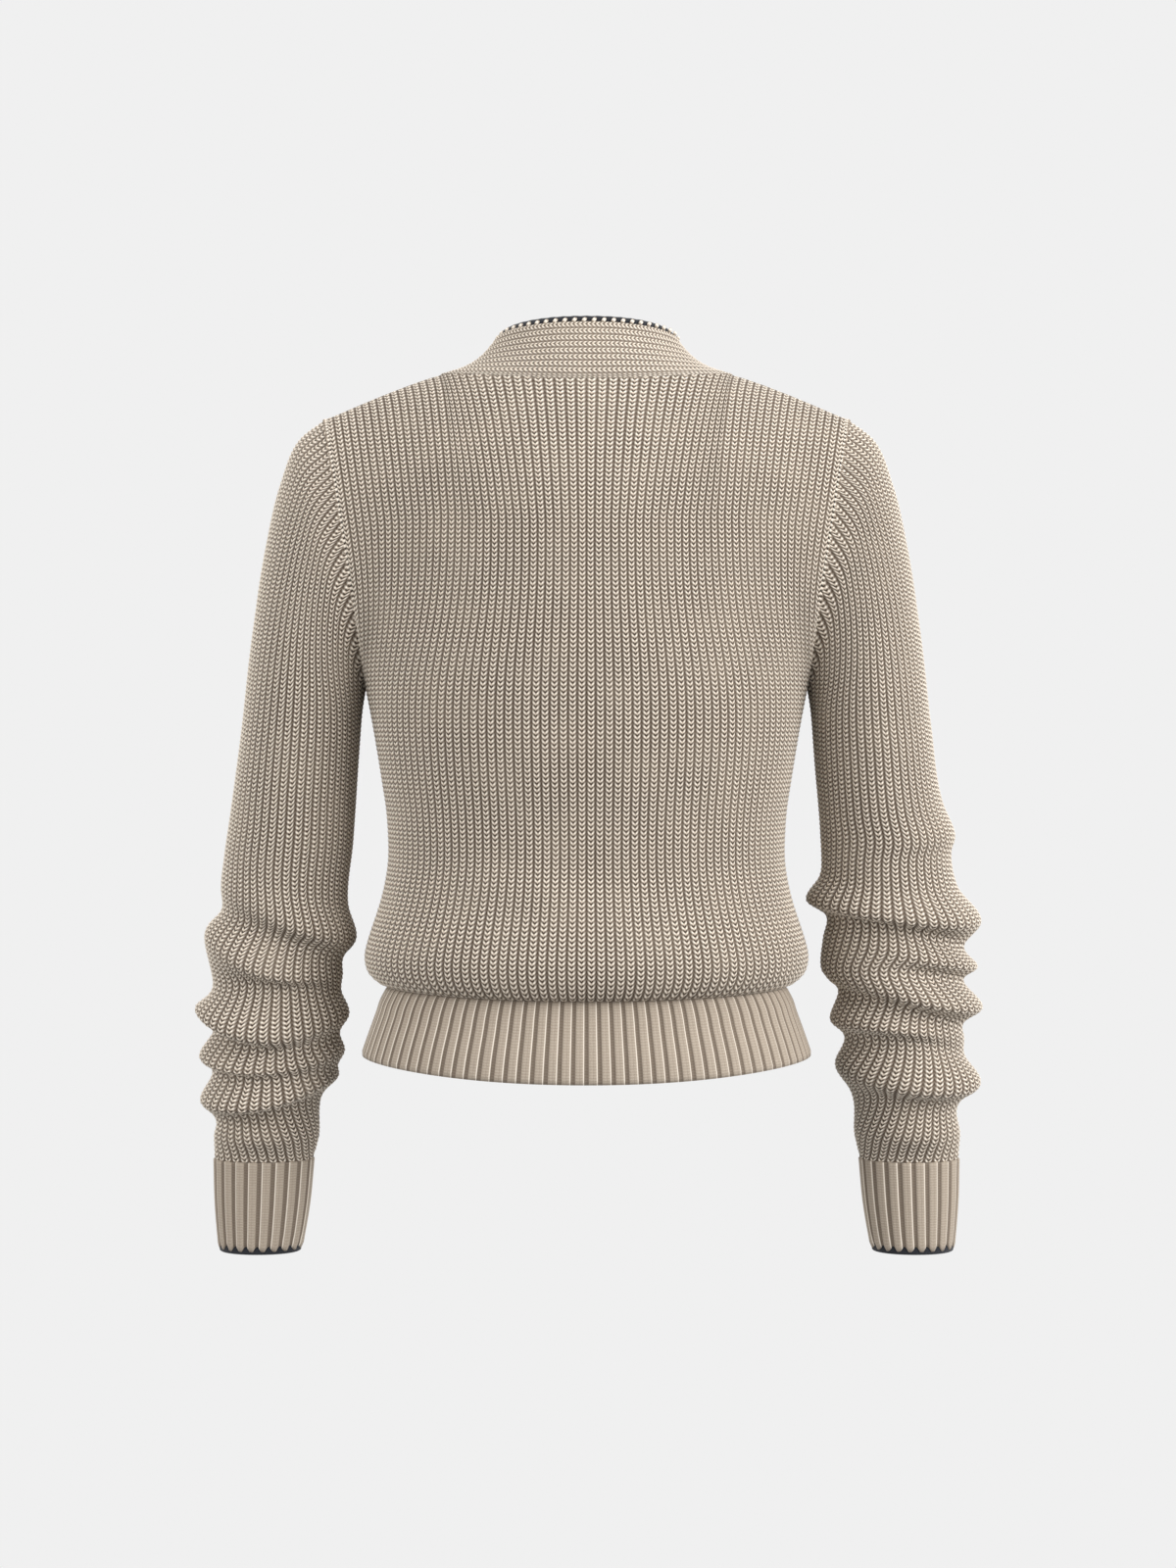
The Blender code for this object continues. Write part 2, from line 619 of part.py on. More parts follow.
def neckband_tipping():
    """The dark row along the strip's free edge, a little proud of the ribs' valleys."""
    def edge_lines(width):
        return np.array([width - TIPPING_WIDTH, width])

    def proud(offsets):
        return np.full_like(offsets, TIPPING_LIFT)

    return wall("neckband_tipping", whole_band(edge_lines, proud), whole_band(edge_lines, inside), TIPPING)


def button_seat(z):
    """How far forward the strip's ribs reach behind a button."""
    stops = HEM["z"][-1] + (V_BOTTOM - HEM["z"][-1]) * np.array(BAND_STOPS[:8])
    span = z + np.linspace(-BUTTON_RADIUS, BUTTON_RADIUS, 7)
    return float(np.interp(span, stops, band_depth(stops)).max()) + OVERLAP_LIFT + BAND_RIB_HEIGHT


def button(number, level):
    """A four-hole button, turned, on the outer band at the middle of the front."""
    depth = button_seat(level) + BUTTON_GAP
    centre = (0.0, -(depth + BUTTON_HEIGHT / 2) * MM, level * MM)
    bpy.ops.mesh.primitive_cylinder_add(vertices=BUTTON_SIDES, radius=BUTTON_RADIUS * MM,
                                        depth=BUTTON_HEIGHT * MM, location=centre,
                                        rotation=(math.pi / 2, 0.0, 0.0))
    obj = bpy.context.object
    obj.name = f"button_{number}"
    for collection in list(obj.users_collection):
        collection.objects.unlink(obj)
    mesh = obj.data
    mesh.name = obj.name
    rim = obj.modifiers.new("rim", "BEVEL")
    rim.width = BUTTON_RIM * MM
    rim.segments = 1
    rim.limit_method = "ANGLE"
    holes = obj.modifiers.new("holes", "BOOLEAN")
    holes.operation = "DIFFERENCE"
    holes.object = hole_cutter(number, centre)
    mesh.materials.append(own_material(obj.name, HORN))
    mesh.shade_smooth()
    mesh.set_sharp_from_angle(angle=math.radians(SHARP_ANGLE))
    parts.objects.link(obj)


def hole_cutter(number, centre):
    """Four thread holes, joined as one cutter."""
    bm = bmesh.new()
    for i in range(4):
        angle = math.pi / 4 + i * math.pi / 2
        made = bmesh.ops.create_cone(bm, cap_ends=True, segments=HOLE_SIDES, radius1=HOLE_RADIUS * MM,
                                     radius2=HOLE_RADIUS * MM, depth=3 * BUTTON_HEIGHT * MM)
        away = (HOLE_AWAY * math.cos(angle) * MM, HOLE_AWAY * math.sin(angle) * MM, 0.0)
        bmesh.ops.translate(bm, verts=made["verts"], vec=away)
    mesh = bpy.data.meshes.new(f"holes_{number}")
    bm.to_mesh(mesh)
    bm.free()
    cutter = bpy.data.objects.new(f"holes_{number}", mesh)
    cutter.location = centre
    cutter.rotation_euler = (math.pi / 2, 0.0, 0.0)
    cutter.hide_render = True
    cutter.display_type = "WIRE"
    cutters.objects.link(cutter)
    return cutter


for old in list(bpy.data.objects):
    bpy.data.objects.remove(old)
parts = bpy.data.collections.new("cardigan")
cutters = bpy.data.collections.new("cutters")
bpy.context.scene.collection.children.link(parts)
bpy.context.scene.collection.children.link(cutters)

panel("back", "back", body_grid, BODY_RIBS, BODY_RIB_HEIGHT, False, False)
panel("front_left", "front", body_grid, BODY_RIBS, BODY_RIB_HEIGHT, False, False)
panel("front_right", "front", body_grid, BODY_RIBS, BODY_RIB_HEIGHT, False, True)
panel("hem_back", "back", hem_grid, HEM_RIBS, BODY_RIB_HEIGHT, True, False)
panel("hem_front_left", "front", hem_grid, HEM_RIBS, BODY_RIB_HEIGHT, True, False)
panel("hem_front_right", "front", hem_grid, HEM_RIBS, BODY_RIB_HEIGHT, True, True)
for word, sign, rows in (("left", 1.0, LEFT_SLEEVE), ("right", -1.0, RIGHT_SLEEVE)):
    sleeve(f"sleeve_{word}", rows, sign)
    cuff(f"cuff_{word}", CUFF, sign, CUFF_RIBS, BAND_RIB_HEIGHT, KNIT)
    cuff(f"cuff_tipping_{word}", CUFF_EDGE, sign, CUFF_RIBS // 2, 0.0, TIPPING)
neckband()
neckband_tipping()
for count, button_level in enumerate(BUTTON_LEVELS, start=1):
    button(count, button_level)
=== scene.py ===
import math

import bmesh
import bpy
import numpy as np
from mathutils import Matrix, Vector


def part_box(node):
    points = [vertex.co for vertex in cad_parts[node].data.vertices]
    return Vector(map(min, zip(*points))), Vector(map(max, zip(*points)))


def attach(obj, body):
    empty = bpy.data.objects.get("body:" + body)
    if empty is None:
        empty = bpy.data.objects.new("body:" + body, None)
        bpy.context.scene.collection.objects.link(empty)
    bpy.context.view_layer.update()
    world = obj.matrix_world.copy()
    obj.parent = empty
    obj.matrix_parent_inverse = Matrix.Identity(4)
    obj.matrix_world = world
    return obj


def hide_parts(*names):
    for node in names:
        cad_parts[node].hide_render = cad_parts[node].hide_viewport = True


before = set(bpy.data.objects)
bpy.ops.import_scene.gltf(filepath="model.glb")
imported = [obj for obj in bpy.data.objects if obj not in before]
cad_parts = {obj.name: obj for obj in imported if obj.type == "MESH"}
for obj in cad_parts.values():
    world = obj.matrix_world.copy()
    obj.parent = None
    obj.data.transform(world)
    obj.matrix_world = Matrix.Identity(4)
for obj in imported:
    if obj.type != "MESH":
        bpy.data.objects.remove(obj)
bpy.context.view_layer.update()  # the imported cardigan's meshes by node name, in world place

mm = 0.001


# Small helpers on points and curves, all in millimetres

def table(names, rows):
    return {name: np.array([row[i] for row in rows], float) for i, name in enumerate(names.split())}


def through(knots, values, at):  # smooth curve through values at rising knots
    at = np.asarray(at, float)
    values = np.asarray(values, float)
    slopes = np.gradient(values, knots, axis=0)
    cell = np.clip(np.searchsorted(knots, at) - 1, 0, len(knots) - 2)
    step = knots[cell + 1] - knots[cell]
    r = (at - knots[cell]) / step
    shape = r.shape + (1,) * (values.ndim - 1)
    r = r.reshape(shape)
    step = step.reshape(shape)
    start = values[cell] * (1 + 2 * r) * (1 - r) ** 2 + slopes[cell] * step * r * (1 - r) ** 2
    return start + values[cell + 1] * r * r * (3 - 2 * r) - slopes[cell + 1] * step * r * r * (1 - r)


def ease(x):
    x = np.clip(x, 0.0, 1.0)
    return x * x * (3 - 2 * x)


def hump(x, width):  # 1 at the middle, gone at the width
    return np.cos(np.clip(x / width, -1, 1) * math.pi / 2) ** 2


def unit(vectors):
    return vectors / np.maximum(np.linalg.norm(vectors, axis=-1, keepdims=True), 1e-9)


def running(points):  # length along a line of points
    return np.concatenate([[0.0], np.cumsum(np.linalg.norm(np.diff(points, axis=0), axis=1))])


def spaced(points, shares):
    length = running(points)
    at = np.asarray(shares) * length[-1]
    return np.stack([np.interp(at, length, points[:, i]) for i in range(3)], axis=1)


# Stitches. Every knitted piece has a UV layer: u counts ribs across it, v counts stitch rows along it.

knitRelief = {
    "rowHeight": 3.25,
    "lean": 0.85,  # how many rows a V's legs climb
    "ribHeight": 1.5,
    "legHeight": 0.32,
    "holeDepth": 0.42,
    "columns": (0.0, 0.27, 0.5, 0.73),  # across one rib: valley, leg, hole, leg
}


def stitchRelief(u, v):
    side = np.abs(2 * (u % 1) - 1)
    phase = np.cos(2 * math.pi * (v - knitRelief["lean"] * side))
    rib = np.sqrt(np.clip(1 - side ** 2, 0, 1)) * knitRelief["ribHeight"]
    leg = knitRelief["legHeight"] * phase * np.clip(1.15 - side, 0, 1)
    hole = -knitRelief["holeDepth"] * (0.5 - 0.5 * phase) * np.clip(1 - side / 0.3, 0, 1)
    return rib + leg + hole


def rowRunning(points, level):  # rows grow longer where the cloth lies flatter
    steps = np.diff(points, axis=0)
    length = np.linalg.norm(steps, axis=1) * (1 - level) + np.abs(steps[:, 2]) * level
    return np.concatenate([[0.0], np.cumsum(length)])


def layCloth(paths, ribsAt, step, lean, rowHeight, ribCount=None, shared=False, level=0.0):
    # Columns of points along the paths; columns that run out at a seam end there.
    lengths = [rowRunning(path, level) for path in paths]
    if shared:
        mean = np.mean(lengths, axis=0)
        lengths = [mean] * len(paths)
    most = max(length[-1] for length in lengths) / rowHeight
    rows = np.arange(-math.ceil(lean / step), math.ceil(most / step) + 2) * step
    size = (len(rows), len(paths))
    index = np.zeros(size, int)
    uGrid = np.zeros(size)
    vGrid = np.zeros(size)
    points = []
    uv = []
    ends = []
    total = 0
    for j, path in enumerate(paths):
        end = lengths[j][-1] / rowHeight
        own = np.clip(rows + lean * abs(2 * (ribsAt[j] % 1) - 1), 0, end)
        values, back = np.unique(own, return_inverse=True)
        at = values * rowHeight
        place = np.stack([np.interp(at, lengths[j], path[:, i]) for i in range(3)], axis=1)
        across = np.full(len(values), float(ribsAt[j]))
        if ribCount is not None:
            here = np.interp(at, lengths[j], ribCount)
            across = np.clip(across, -here, here)
        index[:, j] = total + back
        uGrid[:, j] = across[back]
        vGrid[:, j] = own
        if ribCount is not None and j > 0:
            seamed = np.abs(ribsAt[j]) >= np.interp(own * rowHeight, lengths[j], ribCount) - 1e-6
            index[seamed, j] = index[seamed, 0]
        points.append(place)
        uv.append(np.stack([across, values], axis=1))
        ends.append(np.full(len(values), end))
        total += len(values)
    return {"points": np.concatenate(points), "uv": np.concatenate(uv), "ends": np.concatenate(ends),
            "index": index, "u": uGrid, "v": vGrid}


def faceLists(cloth):  # faces of a laid cloth, and the UV of their corners
    index = cloth["index"]
    corners = [(0, 0), (0, 1), (1, 1), (1, 0)]
    rows, columns = index.shape
    part = [(slice(r, rows - 1 + r), slice(c, columns - 1 + c)) for r, c in corners]
    numbers = np.stack([index[p] for p in part], axis=-1).reshape(-1, 4)
    uv = np.stack([np.stack([cloth["u"][p], cloth["v"][p]], axis=-1) for p in part], axis=-2)
    uv = uv.reshape(-1, 4, 2)
    same = numbers == np.roll(numbers, -1, axis=1)
    faces = []
    faceUv = []
    keep = same.sum(axis=1) <= 1
    for number, place, double in zip(numbers[keep], uv[keep], same[keep]):
        use = [k for k in range(4) if not double[k]]
        if len({int(number[k]) for k in use}) > 2:
            faces.append([int(number[k]) for k in use])
            faceUv.append([place[k] for k in use])
    return faces, faceUv


def meshNormals(points, faces):
    normals = np.zeros_like(points)
    quads = np.array([face if len(face) == 4 else face + face[2:] for face in faces])
    corner = points[quads]
    cross = np.cross(corner[:, 2] - corner[:, 0], corner[:, 3] - corner[:, 1])
    for k in range(4):
        np.add.at(normals, quads[:, k], cross)
    return unit(normals)


def tidyLine(numbers):
    line = [int(numbers[0])]
    for number in numbers[1:]:
        if int(number) != line[-1]:
            line.append(int(number))
    return line


def zipLines(inner, outer, flip):  # triangles between two edges
    faces = []
    i = j = 0
    while i < len(inner) - 1 or j < len(outer) - 1:
        ahead = (j + 1) * (len(inner) - 1) <= (i + 1) * (len(outer) - 1)
        if j < len(outer) - 1 and (i == len(inner) - 1 or ahead):
            faces.append([inner[i], outer[j], outer[j + 1]])
            j += 1
        else:
            faces.append([inner[i], outer[j], inner[i + 1]])
            i += 1
    return [face[::-1] for face in faces] if flip else faces


def makeObject(name, points, faces, faceUv, material, outward=False):
    mesh = bpy.data.meshes.new(name)
    mesh.from_pydata((np.asarray(points) * mm).tolist(), [], faces)
    layer = mesh.uv_layers.new(name="knit")
    flat = np.array([value for face in faceUv for corner in face for value in corner], dtype=np.float32)
    layer.data.foreach_set("uv", flat)
    mesh.materials.append(material)
    mesh.polygons.foreach_set("use_smooth", [True] * len(mesh.polygons))
    mesh.validate()
    if outward:
        bm = bmesh.new()
        bm.from_mesh(mesh)
        bmesh.ops.recalc_face_normals(bm, faces=bm.faces)
        bm.to_mesh(mesh)
        bm.free()
    obj = bpy.data.objects.new(name, mesh)
    bpy.context.scene.collection.objects.link(obj)
    return obj


def clothObject(name, layers, wall, outside, relief, material, closed=False):
    # A thin shell: a stitched outer layer, a plainer inner layer, and rims between them.
    outer, inner = layers
    faces, faceUv = faceLists(outer)
    normals = meshNormals(outer["points"], faces)
    flip = np.sum(normals * (outer["points"] - outside(outer["points"]))) < 0
    if flip:
        normals = -normals
        faces = [face[::-1] for face in faces]
        faceUv = [corner[::-1] for corner in faceUv]
    outerPoints = outer["points"] + normals * relief(outer)[:, None]
    innerFaces, innerUv = faceLists(inner)
    innerNormals = meshNormals(inner["points"], innerFaces)
    if flip:
        innerNormals = -innerNormals
    else:
        innerFaces = [face[::-1] for face in innerFaces]
        innerUv = [corner[::-1] for corner in innerUv]
    innerPoints = inner["points"] - innerNormals * wall
    shift = len(outerPoints)
    vertexUv = np.concatenate([outer["uv"], inner["uv"]])
    rims = [(0, not flip), (-1, flip)]
    if not closed:
        rims += [((slice(None), 0), flip), ((slice(None), -1), not flip)]
    allFaces = faces + [[n + shift for n in face] for face in innerFaces]
    allUv = faceUv + innerUv
    for edge, turned in rims:
        strip = zipLines(tidyLine(inner["index"][edge] + shift), tidyLine(outer["index"][edge]), turned)
        allFaces += strip
        allUv += [[vertexUv[n] for n in face] for face in strip]
    obj = makeObject(name, np.concatenate([outerPoints, innerPoints]), allFaces, allUv, material)
    print(name, "triangles", sum(len(face) - 2 for face in allFaces))
    return obj


# The body's form, the same as in the CAD model

bodyForm = {
    "ribs": 66,
    "wall": 2.2,
    "crestBack": 1.0,  # the crests stand on the outline, the valleys inside it
    "seam": 0.15,
    "neckHalf": 104.0,
    "backNeckDepth": 55.0,
    "backNeckDrop": 10.0,
    "shoulderX": 186.3,
    "shoulderDrop": 32.0,
    "vBottom": -196.0,
    "frontEdge": 25.0,
    "armCentre": (171.7, -127.5),
    "armHalf": (14.6, 95.5),
    "armDepth": {"back": 50.0, "front": 48.0},
    "armBow": {"back": 4.0, "front": 8.0},
    "neckShare": {"back": 0.51, "front": 0.47},
    "neckFullness": {"back": 0.45, "front": 0.15},
    "bladeDepth": {"back": 104.0, "front": 107.0},
    "power": 2.3,
    "bandReach": 55.0,
    "softening": 22,
    "seamFade": 0.9,
    "rowLevel": 0.85,
}
seam = bodyForm["seam"]
outward = {"back": 1.0, "front": -1.0}

bodyRows = table("row z side back front dip rise", [
    (0, -435.0, 141.5, 101.5, 99.0, 4.0, 0.0),
    (1, -432.5, 146.8, 107.5, 103.5, 4.0, 0.0),
    (2, -425.0, 154.9, 112.5, 108.0, 3.5, 0.0),
    (3, -412.0, 157.2, 114.5, 109.5, 2.5, 0.0),
    (4, -392.0, 151.6, 110.5, 106.5, 1.2, 0.0),
    (5, -372.0, 145.3, 105.5, 103.0, 0.5, 0.0),
    (6, -345.0, 140.7, 102.0, 101.0, 0.0, 0.0),
    (7, -310.0, 142.1, 103.0, 102.0, 0.0, 0.0),
    (8, -275.0, 147.2, 106.5, 103.5, 0.0, 0.0),
    (9, -245.0, 152.4, 109.5, 105.0, 0.0, 0.0),
    (10, -223.0, 157.1, 112.0, 106.0, 0.0, 0.0),
])
hemRows = table("row z side back front dip rise", [
    (0, -435.3, 140.8, 100.5, 98.0, 4.0, 0.0),
    (1, -447.0, 146.2, 103.5, 100.5, 4.0, 1.5),
    (2, -457.0, 148.9, 106.0, 102.5, 3.8, 3.3),
    (3, -475.0, 154.6, 110.5, 105.5, 3.4, 5.5),
    (4, -491.5, 159.6, 112.5, 107.0, 3.0, 7.5),
])
bandLine = table("z depth", [
    (-491.5, 106.5), (-460.0, 102.5), (-436.8, 100.5), (-412.0, 102.0), (-345.0, 101.5), (-275.0, 104.0),
    (-196.0, 107.0),
])


def bandDepth(z):
    return through(bandLine["z"], bandLine["depth"], z)


def roundness(s):  # depth of the section, from 1 in the middle to 0 at the side
    return np.clip(1 - s ** bodyForm["power"], 0, 1) ** (1 / bodyForm["power"])


def sideways(side, edgeX):
    inner = bodyForm["frontEdge"] if side == "front" else 0.0
    turn = np.linspace(0.0, 1.0, 400) * math.pi / 2
    return inner + (edgeX - inner) * np.sin(turn) ** (2 / bodyForm["power"])


def besideBand(side, depth, x, z):
    if side == "back":
        return np.full_like(x, depth)
    near = 1 - ease((x - bodyForm["frontEdge"]) / bodyForm["bandReach"])
    return depth + (bandDepth(z) - depth) * near


def section(side, sizes, row):
    z, edge, depth = (float(through(sizes["row"], sizes[key], row)) for key in ("z", "side", side))
    dip = float(through(sizes["row"], sizes["dip"], row)) if side == "back" else 0.0
    rise = float(through(sizes["row"], sizes["rise"], row))
    x = sideways(side, edge)
    y = seam + (besideBand(side, depth, x, z) - seam) * roundness(x / edge)
    level = z - dip * (1 - (x / edge) ** 2) + rise * (x / edge) ** 2
    return np.stack([x, y * outward[side], level], axis=1)


def armhole(side, angle):
    (centreX, centreZ), (halfX, halfZ) = bodyForm["armCentre"], bodyForm["armHalf"]
    x = centreX + halfX * np.cos(angle) - bodyForm["armBow"][side] * np.sin(angle)
    return x, seam + (bodyForm["armDepth"][side] - seam) * np.sin(angle), centreZ + halfZ * np.cos(angle)


def chestRow(side, angle):
    edgeX, edgeY, edgeZ = armhole(side, angle)
    up = (math.pi - angle) / (math.pi / 2)
    top = bodyForm["armCentre"][1] if side == "back" else bodyForm["vBottom"] - 8.0
    middleZ = bodyRows["z"][-1] + (top - bodyRows["z"][-1]) * up
    depth = bodyRows[side][-1] + (bodyForm["bladeDepth"][side] - bodyRows[side][-1]) * up
    x = sideways(side, edgeX)
    s = x / edgeX
    softPart = 0.5 * (1 - s ** 2.2) + 0.5 * np.cos(math.pi * s / 2) ** 2
    blend = float(ease(up))
    part = roundness(s) * (1 - blend) + softPart * blend
    y = edgeY + (besideBand(side, depth, x, middleZ) - edgeY) * part
    return np.stack([x, y * outward[side], middleZ + (edgeZ - middleZ) * s ** 2], axis=1)


def neckline(side, r):
    turn = np.asarray(r, float) * math.pi / 2
    neckHalf = bodyForm["neckHalf"]
    if side == "back":
        x = neckHalf * np.sin(turn)
        inside = np.clip(1 - np.abs(x / neckHalf) ** 2.2, 0, 1) ** 0.6
        y = seam + (bodyForm["backNeckDepth"] - seam) * inside
        return np.stack([x, y, -bodyForm["backNeckDrop"] * (1 - (x / neckHalf) ** 2)], axis=-1)
    x = bodyForm["frontEdge"] + (neckHalf - bodyForm["frontEdge"]) * np.sin(turn) ** 1.35
    y = -seam - (bandLine["depth"][-1] - seam) * (1 - (turn * 2 / math.pi) ** 2)
    return np.stack([x, y, bodyForm["vBottom"] * (1 - turn * 2 / math.pi) ** 1.5], axis=-1)


def topEdge(side, share):
    neck = bodyForm["neckShare"][side]
    points = spaced(neckline(side, np.linspace(0, 1, 400)), np.clip(share / neck, 0, 1))
    out = np.clip((share - neck) / (1 - neck), 0, 1)
    neckHalf = bodyForm["neckHalf"]
    shoulder = np.stack([neckHalf + (bodyForm["shoulderX"] - neckHalf) * out,
                         np.full_like(out, seam * outward[side]),
                         -bodyForm["shoulderDrop"] * out ** 1.15], axis=1)
    return np.where((share > neck)[:, None], shoulder, points)


def yokeRow(side, angle, share):
    low = spaced(chestRow(side, math.pi / 2), share)
    top = topEdge(side, share)
    bow = bodyForm["armBow"][side]
    halfX = bodyForm["armHalf"][0]
    along = (halfX * math.cos(angle) + bow * (1 - math.sin(angle))) / (halfX + bow)
    arc = low + (top - low) * np.array([along, 1 - math.sin(angle), math.cos(angle)])
    neck = bodyForm["neckShare"][side]
    least = bodyForm["neckFullness"][side]
    fullness = least + (1 - least) * np.clip(share / neck, 0, 1) ** 3
    corner = np.stack([(low[:, 0] + top[:, 0]) / 2, low[:, 1], top[:, 2]], axis=1)
    guide = (low + top) / 2 + (corner - (low + top) / 2) * fullness[:, None]
    r = angle / (math.pi / 2)
    curve = top * (1 - r) ** 2 + guide * 2 * r * (1 - r) + low * r * r
    towardArm = ease((share - neck * 0.8) / (1 - neck * 0.8))[:, None]
    return curve + (arc - curve) * towardArm


def denser(grid, times):  # rows of a grid, filled in along smooth curves
    knots = np.arange(len(grid), dtype=float)
    return through(knots, grid, np.linspace(0, len(grid) - 1, (len(grid) - 1) * times + 1))


def bodyGrid(side, share):
    rows = [spaced(section(side, bodyRows, row), share) for row in np.arange(0, 10.01, 0.5)]
    waistRows = len(rows)
    for degrees in range(170, 89, -10):
        rows.append(spaced(chestRow(side, math.radians(degrees)), share))
    for degrees in range(82, -1, -8):
        rows.append(yokeRow(side, math.radians(degrees), share))
    rows.append(yokeRow(side, 0.0, share))
    grid = np.array(rows)
    inside = (1 - ease((share - 0.8) / 0.2))[None, :, None]
    weight = np.zeros((len(grid), 1, 1))
    weight[waistRows - 6:waistRows + 9] = 1.0
    weight[-9:-1] = 0.6
    for _ in range(bodyForm["softening"]):  # soften the change of section at underarm and shoulder
        softer = grid.copy()
        softer[1:-1] = (grid[:-2] + 2 * grid[1:-1] + grid[2:]) / 4
        grid = grid + (softer - grid) * weight * inside
    return denser(grid, 6)


# Soft folds of the body: a line from one place to another, in x and z, with its width and height

backFolds = table("x1 z1 x2 z2 width height", [
    (156, -190, 108, -285, 20, -1.3),
    (146, -250, 118, -345, 22, 1.4),
    (-156, -195, -104, -278, 22, -1.2),
    (-146, -255, -116, -350, 22, 1.5),
    (128, -100, 70, -160, 26, 1.2),
    (-128, -108, -76, -172, 28, 1.0),
    (96, -352, -30, -384, 22, 1.3),
    (-92, -366, 30, -352, 24, -1.0),
    (-30, -240, 44, -296, 30, 1.0),
])
frontFolds = table("x1 z1 x2 z2 width height", [
    (152, -195, 92, -280, 22, -1.6),
    (140, -250, 100, -335, 22, 1.5),
    (120, -120, 70, -190, 26, 1.3),
    (110, -345, 50, -372, 20, 1.3),
])


def foldHeight(folds, x, z):
    total = np.zeros_like(x)
    for x1, z1, x2, z2, width, height in zip(*folds.values()):
        run = np.array([x2 - x1, z2 - z1])
        along = ((x - x1) * run[0] + (z - z1) * run[1]) / (run @ run)
        off = ((x - x1) * run[1] - (z - z1) * run[0]) / math.hypot(*run)
        total += height * hump(off, width) * np.clip(1 - (2 * along - 1) ** 2, 0, 1) ** 0.7
    return total


def fromMiddle(points):  # the upright axis of the body beside each point
    return points * np.array([0.0, 0.0, 1.0])


def ribPlaces(count, columns):  # rib coordinates of the columns across a piece
    return np.append((np.arange(count)[:, None] + np.array(columns)).ravel(), count)


def bothSides(places):
    return np.concatenate([-places[:0:-1], places])


def halfPaths(side, share, mirror):
    grid = bodyGrid(side, share)
    folds = backFolds if side == "back" else frontFolds
    sign = -1.0 if mirror else 1.0
    depth = foldHeight(folds, grid[:, :, 0] * sign, grid[:, :, 2])
    calm = 1 - ease((share - 0.86) / 0.14)[None, :]
    if side == "front":
        calm = calm * ease(share / 0.1)[None, :]
    grid[:, :, 1] += outward[side] * depth * calm
    grid[:, :, 0] *= sign
    return grid


def fadeAtEnds(cloth, rows):
    v = cloth["uv"][:, 1]
    return ease(np.minimum(v, cloth["ends"] - v) / rows)


def crested(form):  # stitches set back so far that their crests lie on the outline
    def relief(cloth):
        return (stitchRelief(*cloth["uv"].T) - form["crestBack"]) * fadeAtEnds(cloth, form["seamFade"])

    return relief


def panel(name, side, mirror, material):
    half = bodyForm["ribs"] // 2
    layers = []
    for columns, step, lean in ((knitRelief["columns"], 0.5, knitRelief["lean"]), ((0.0,), 4.0, 0.0)):
        places = ribPlaces(half, columns)
        if side == "back":
            right = halfPaths(side, places / half, True)[:, :0:-1]
            left = halfPaths(side, places / half, False)
            middle = (halfPaths(side, np.array([0.0]), True) + halfPaths(side, np.array([0.0]), False)) / 2
            left[:, :1] = middle
            grid = np.concatenate([right, left], axis=1)
            ribsAt = bothSides(places)
        else:
            grid = halfPaths(side, places / half, mirror)
            ribsAt = places
        layers.append(layCloth(grid.swapaxes(0, 1), ribsAt, step, lean, knitRelief["rowHeight"],
                               level=bodyForm["rowLevel"]))
    return clothObject(name, layers, bodyForm["wall"], fromMiddle, crested(bodyForm), material)


# Sleeves

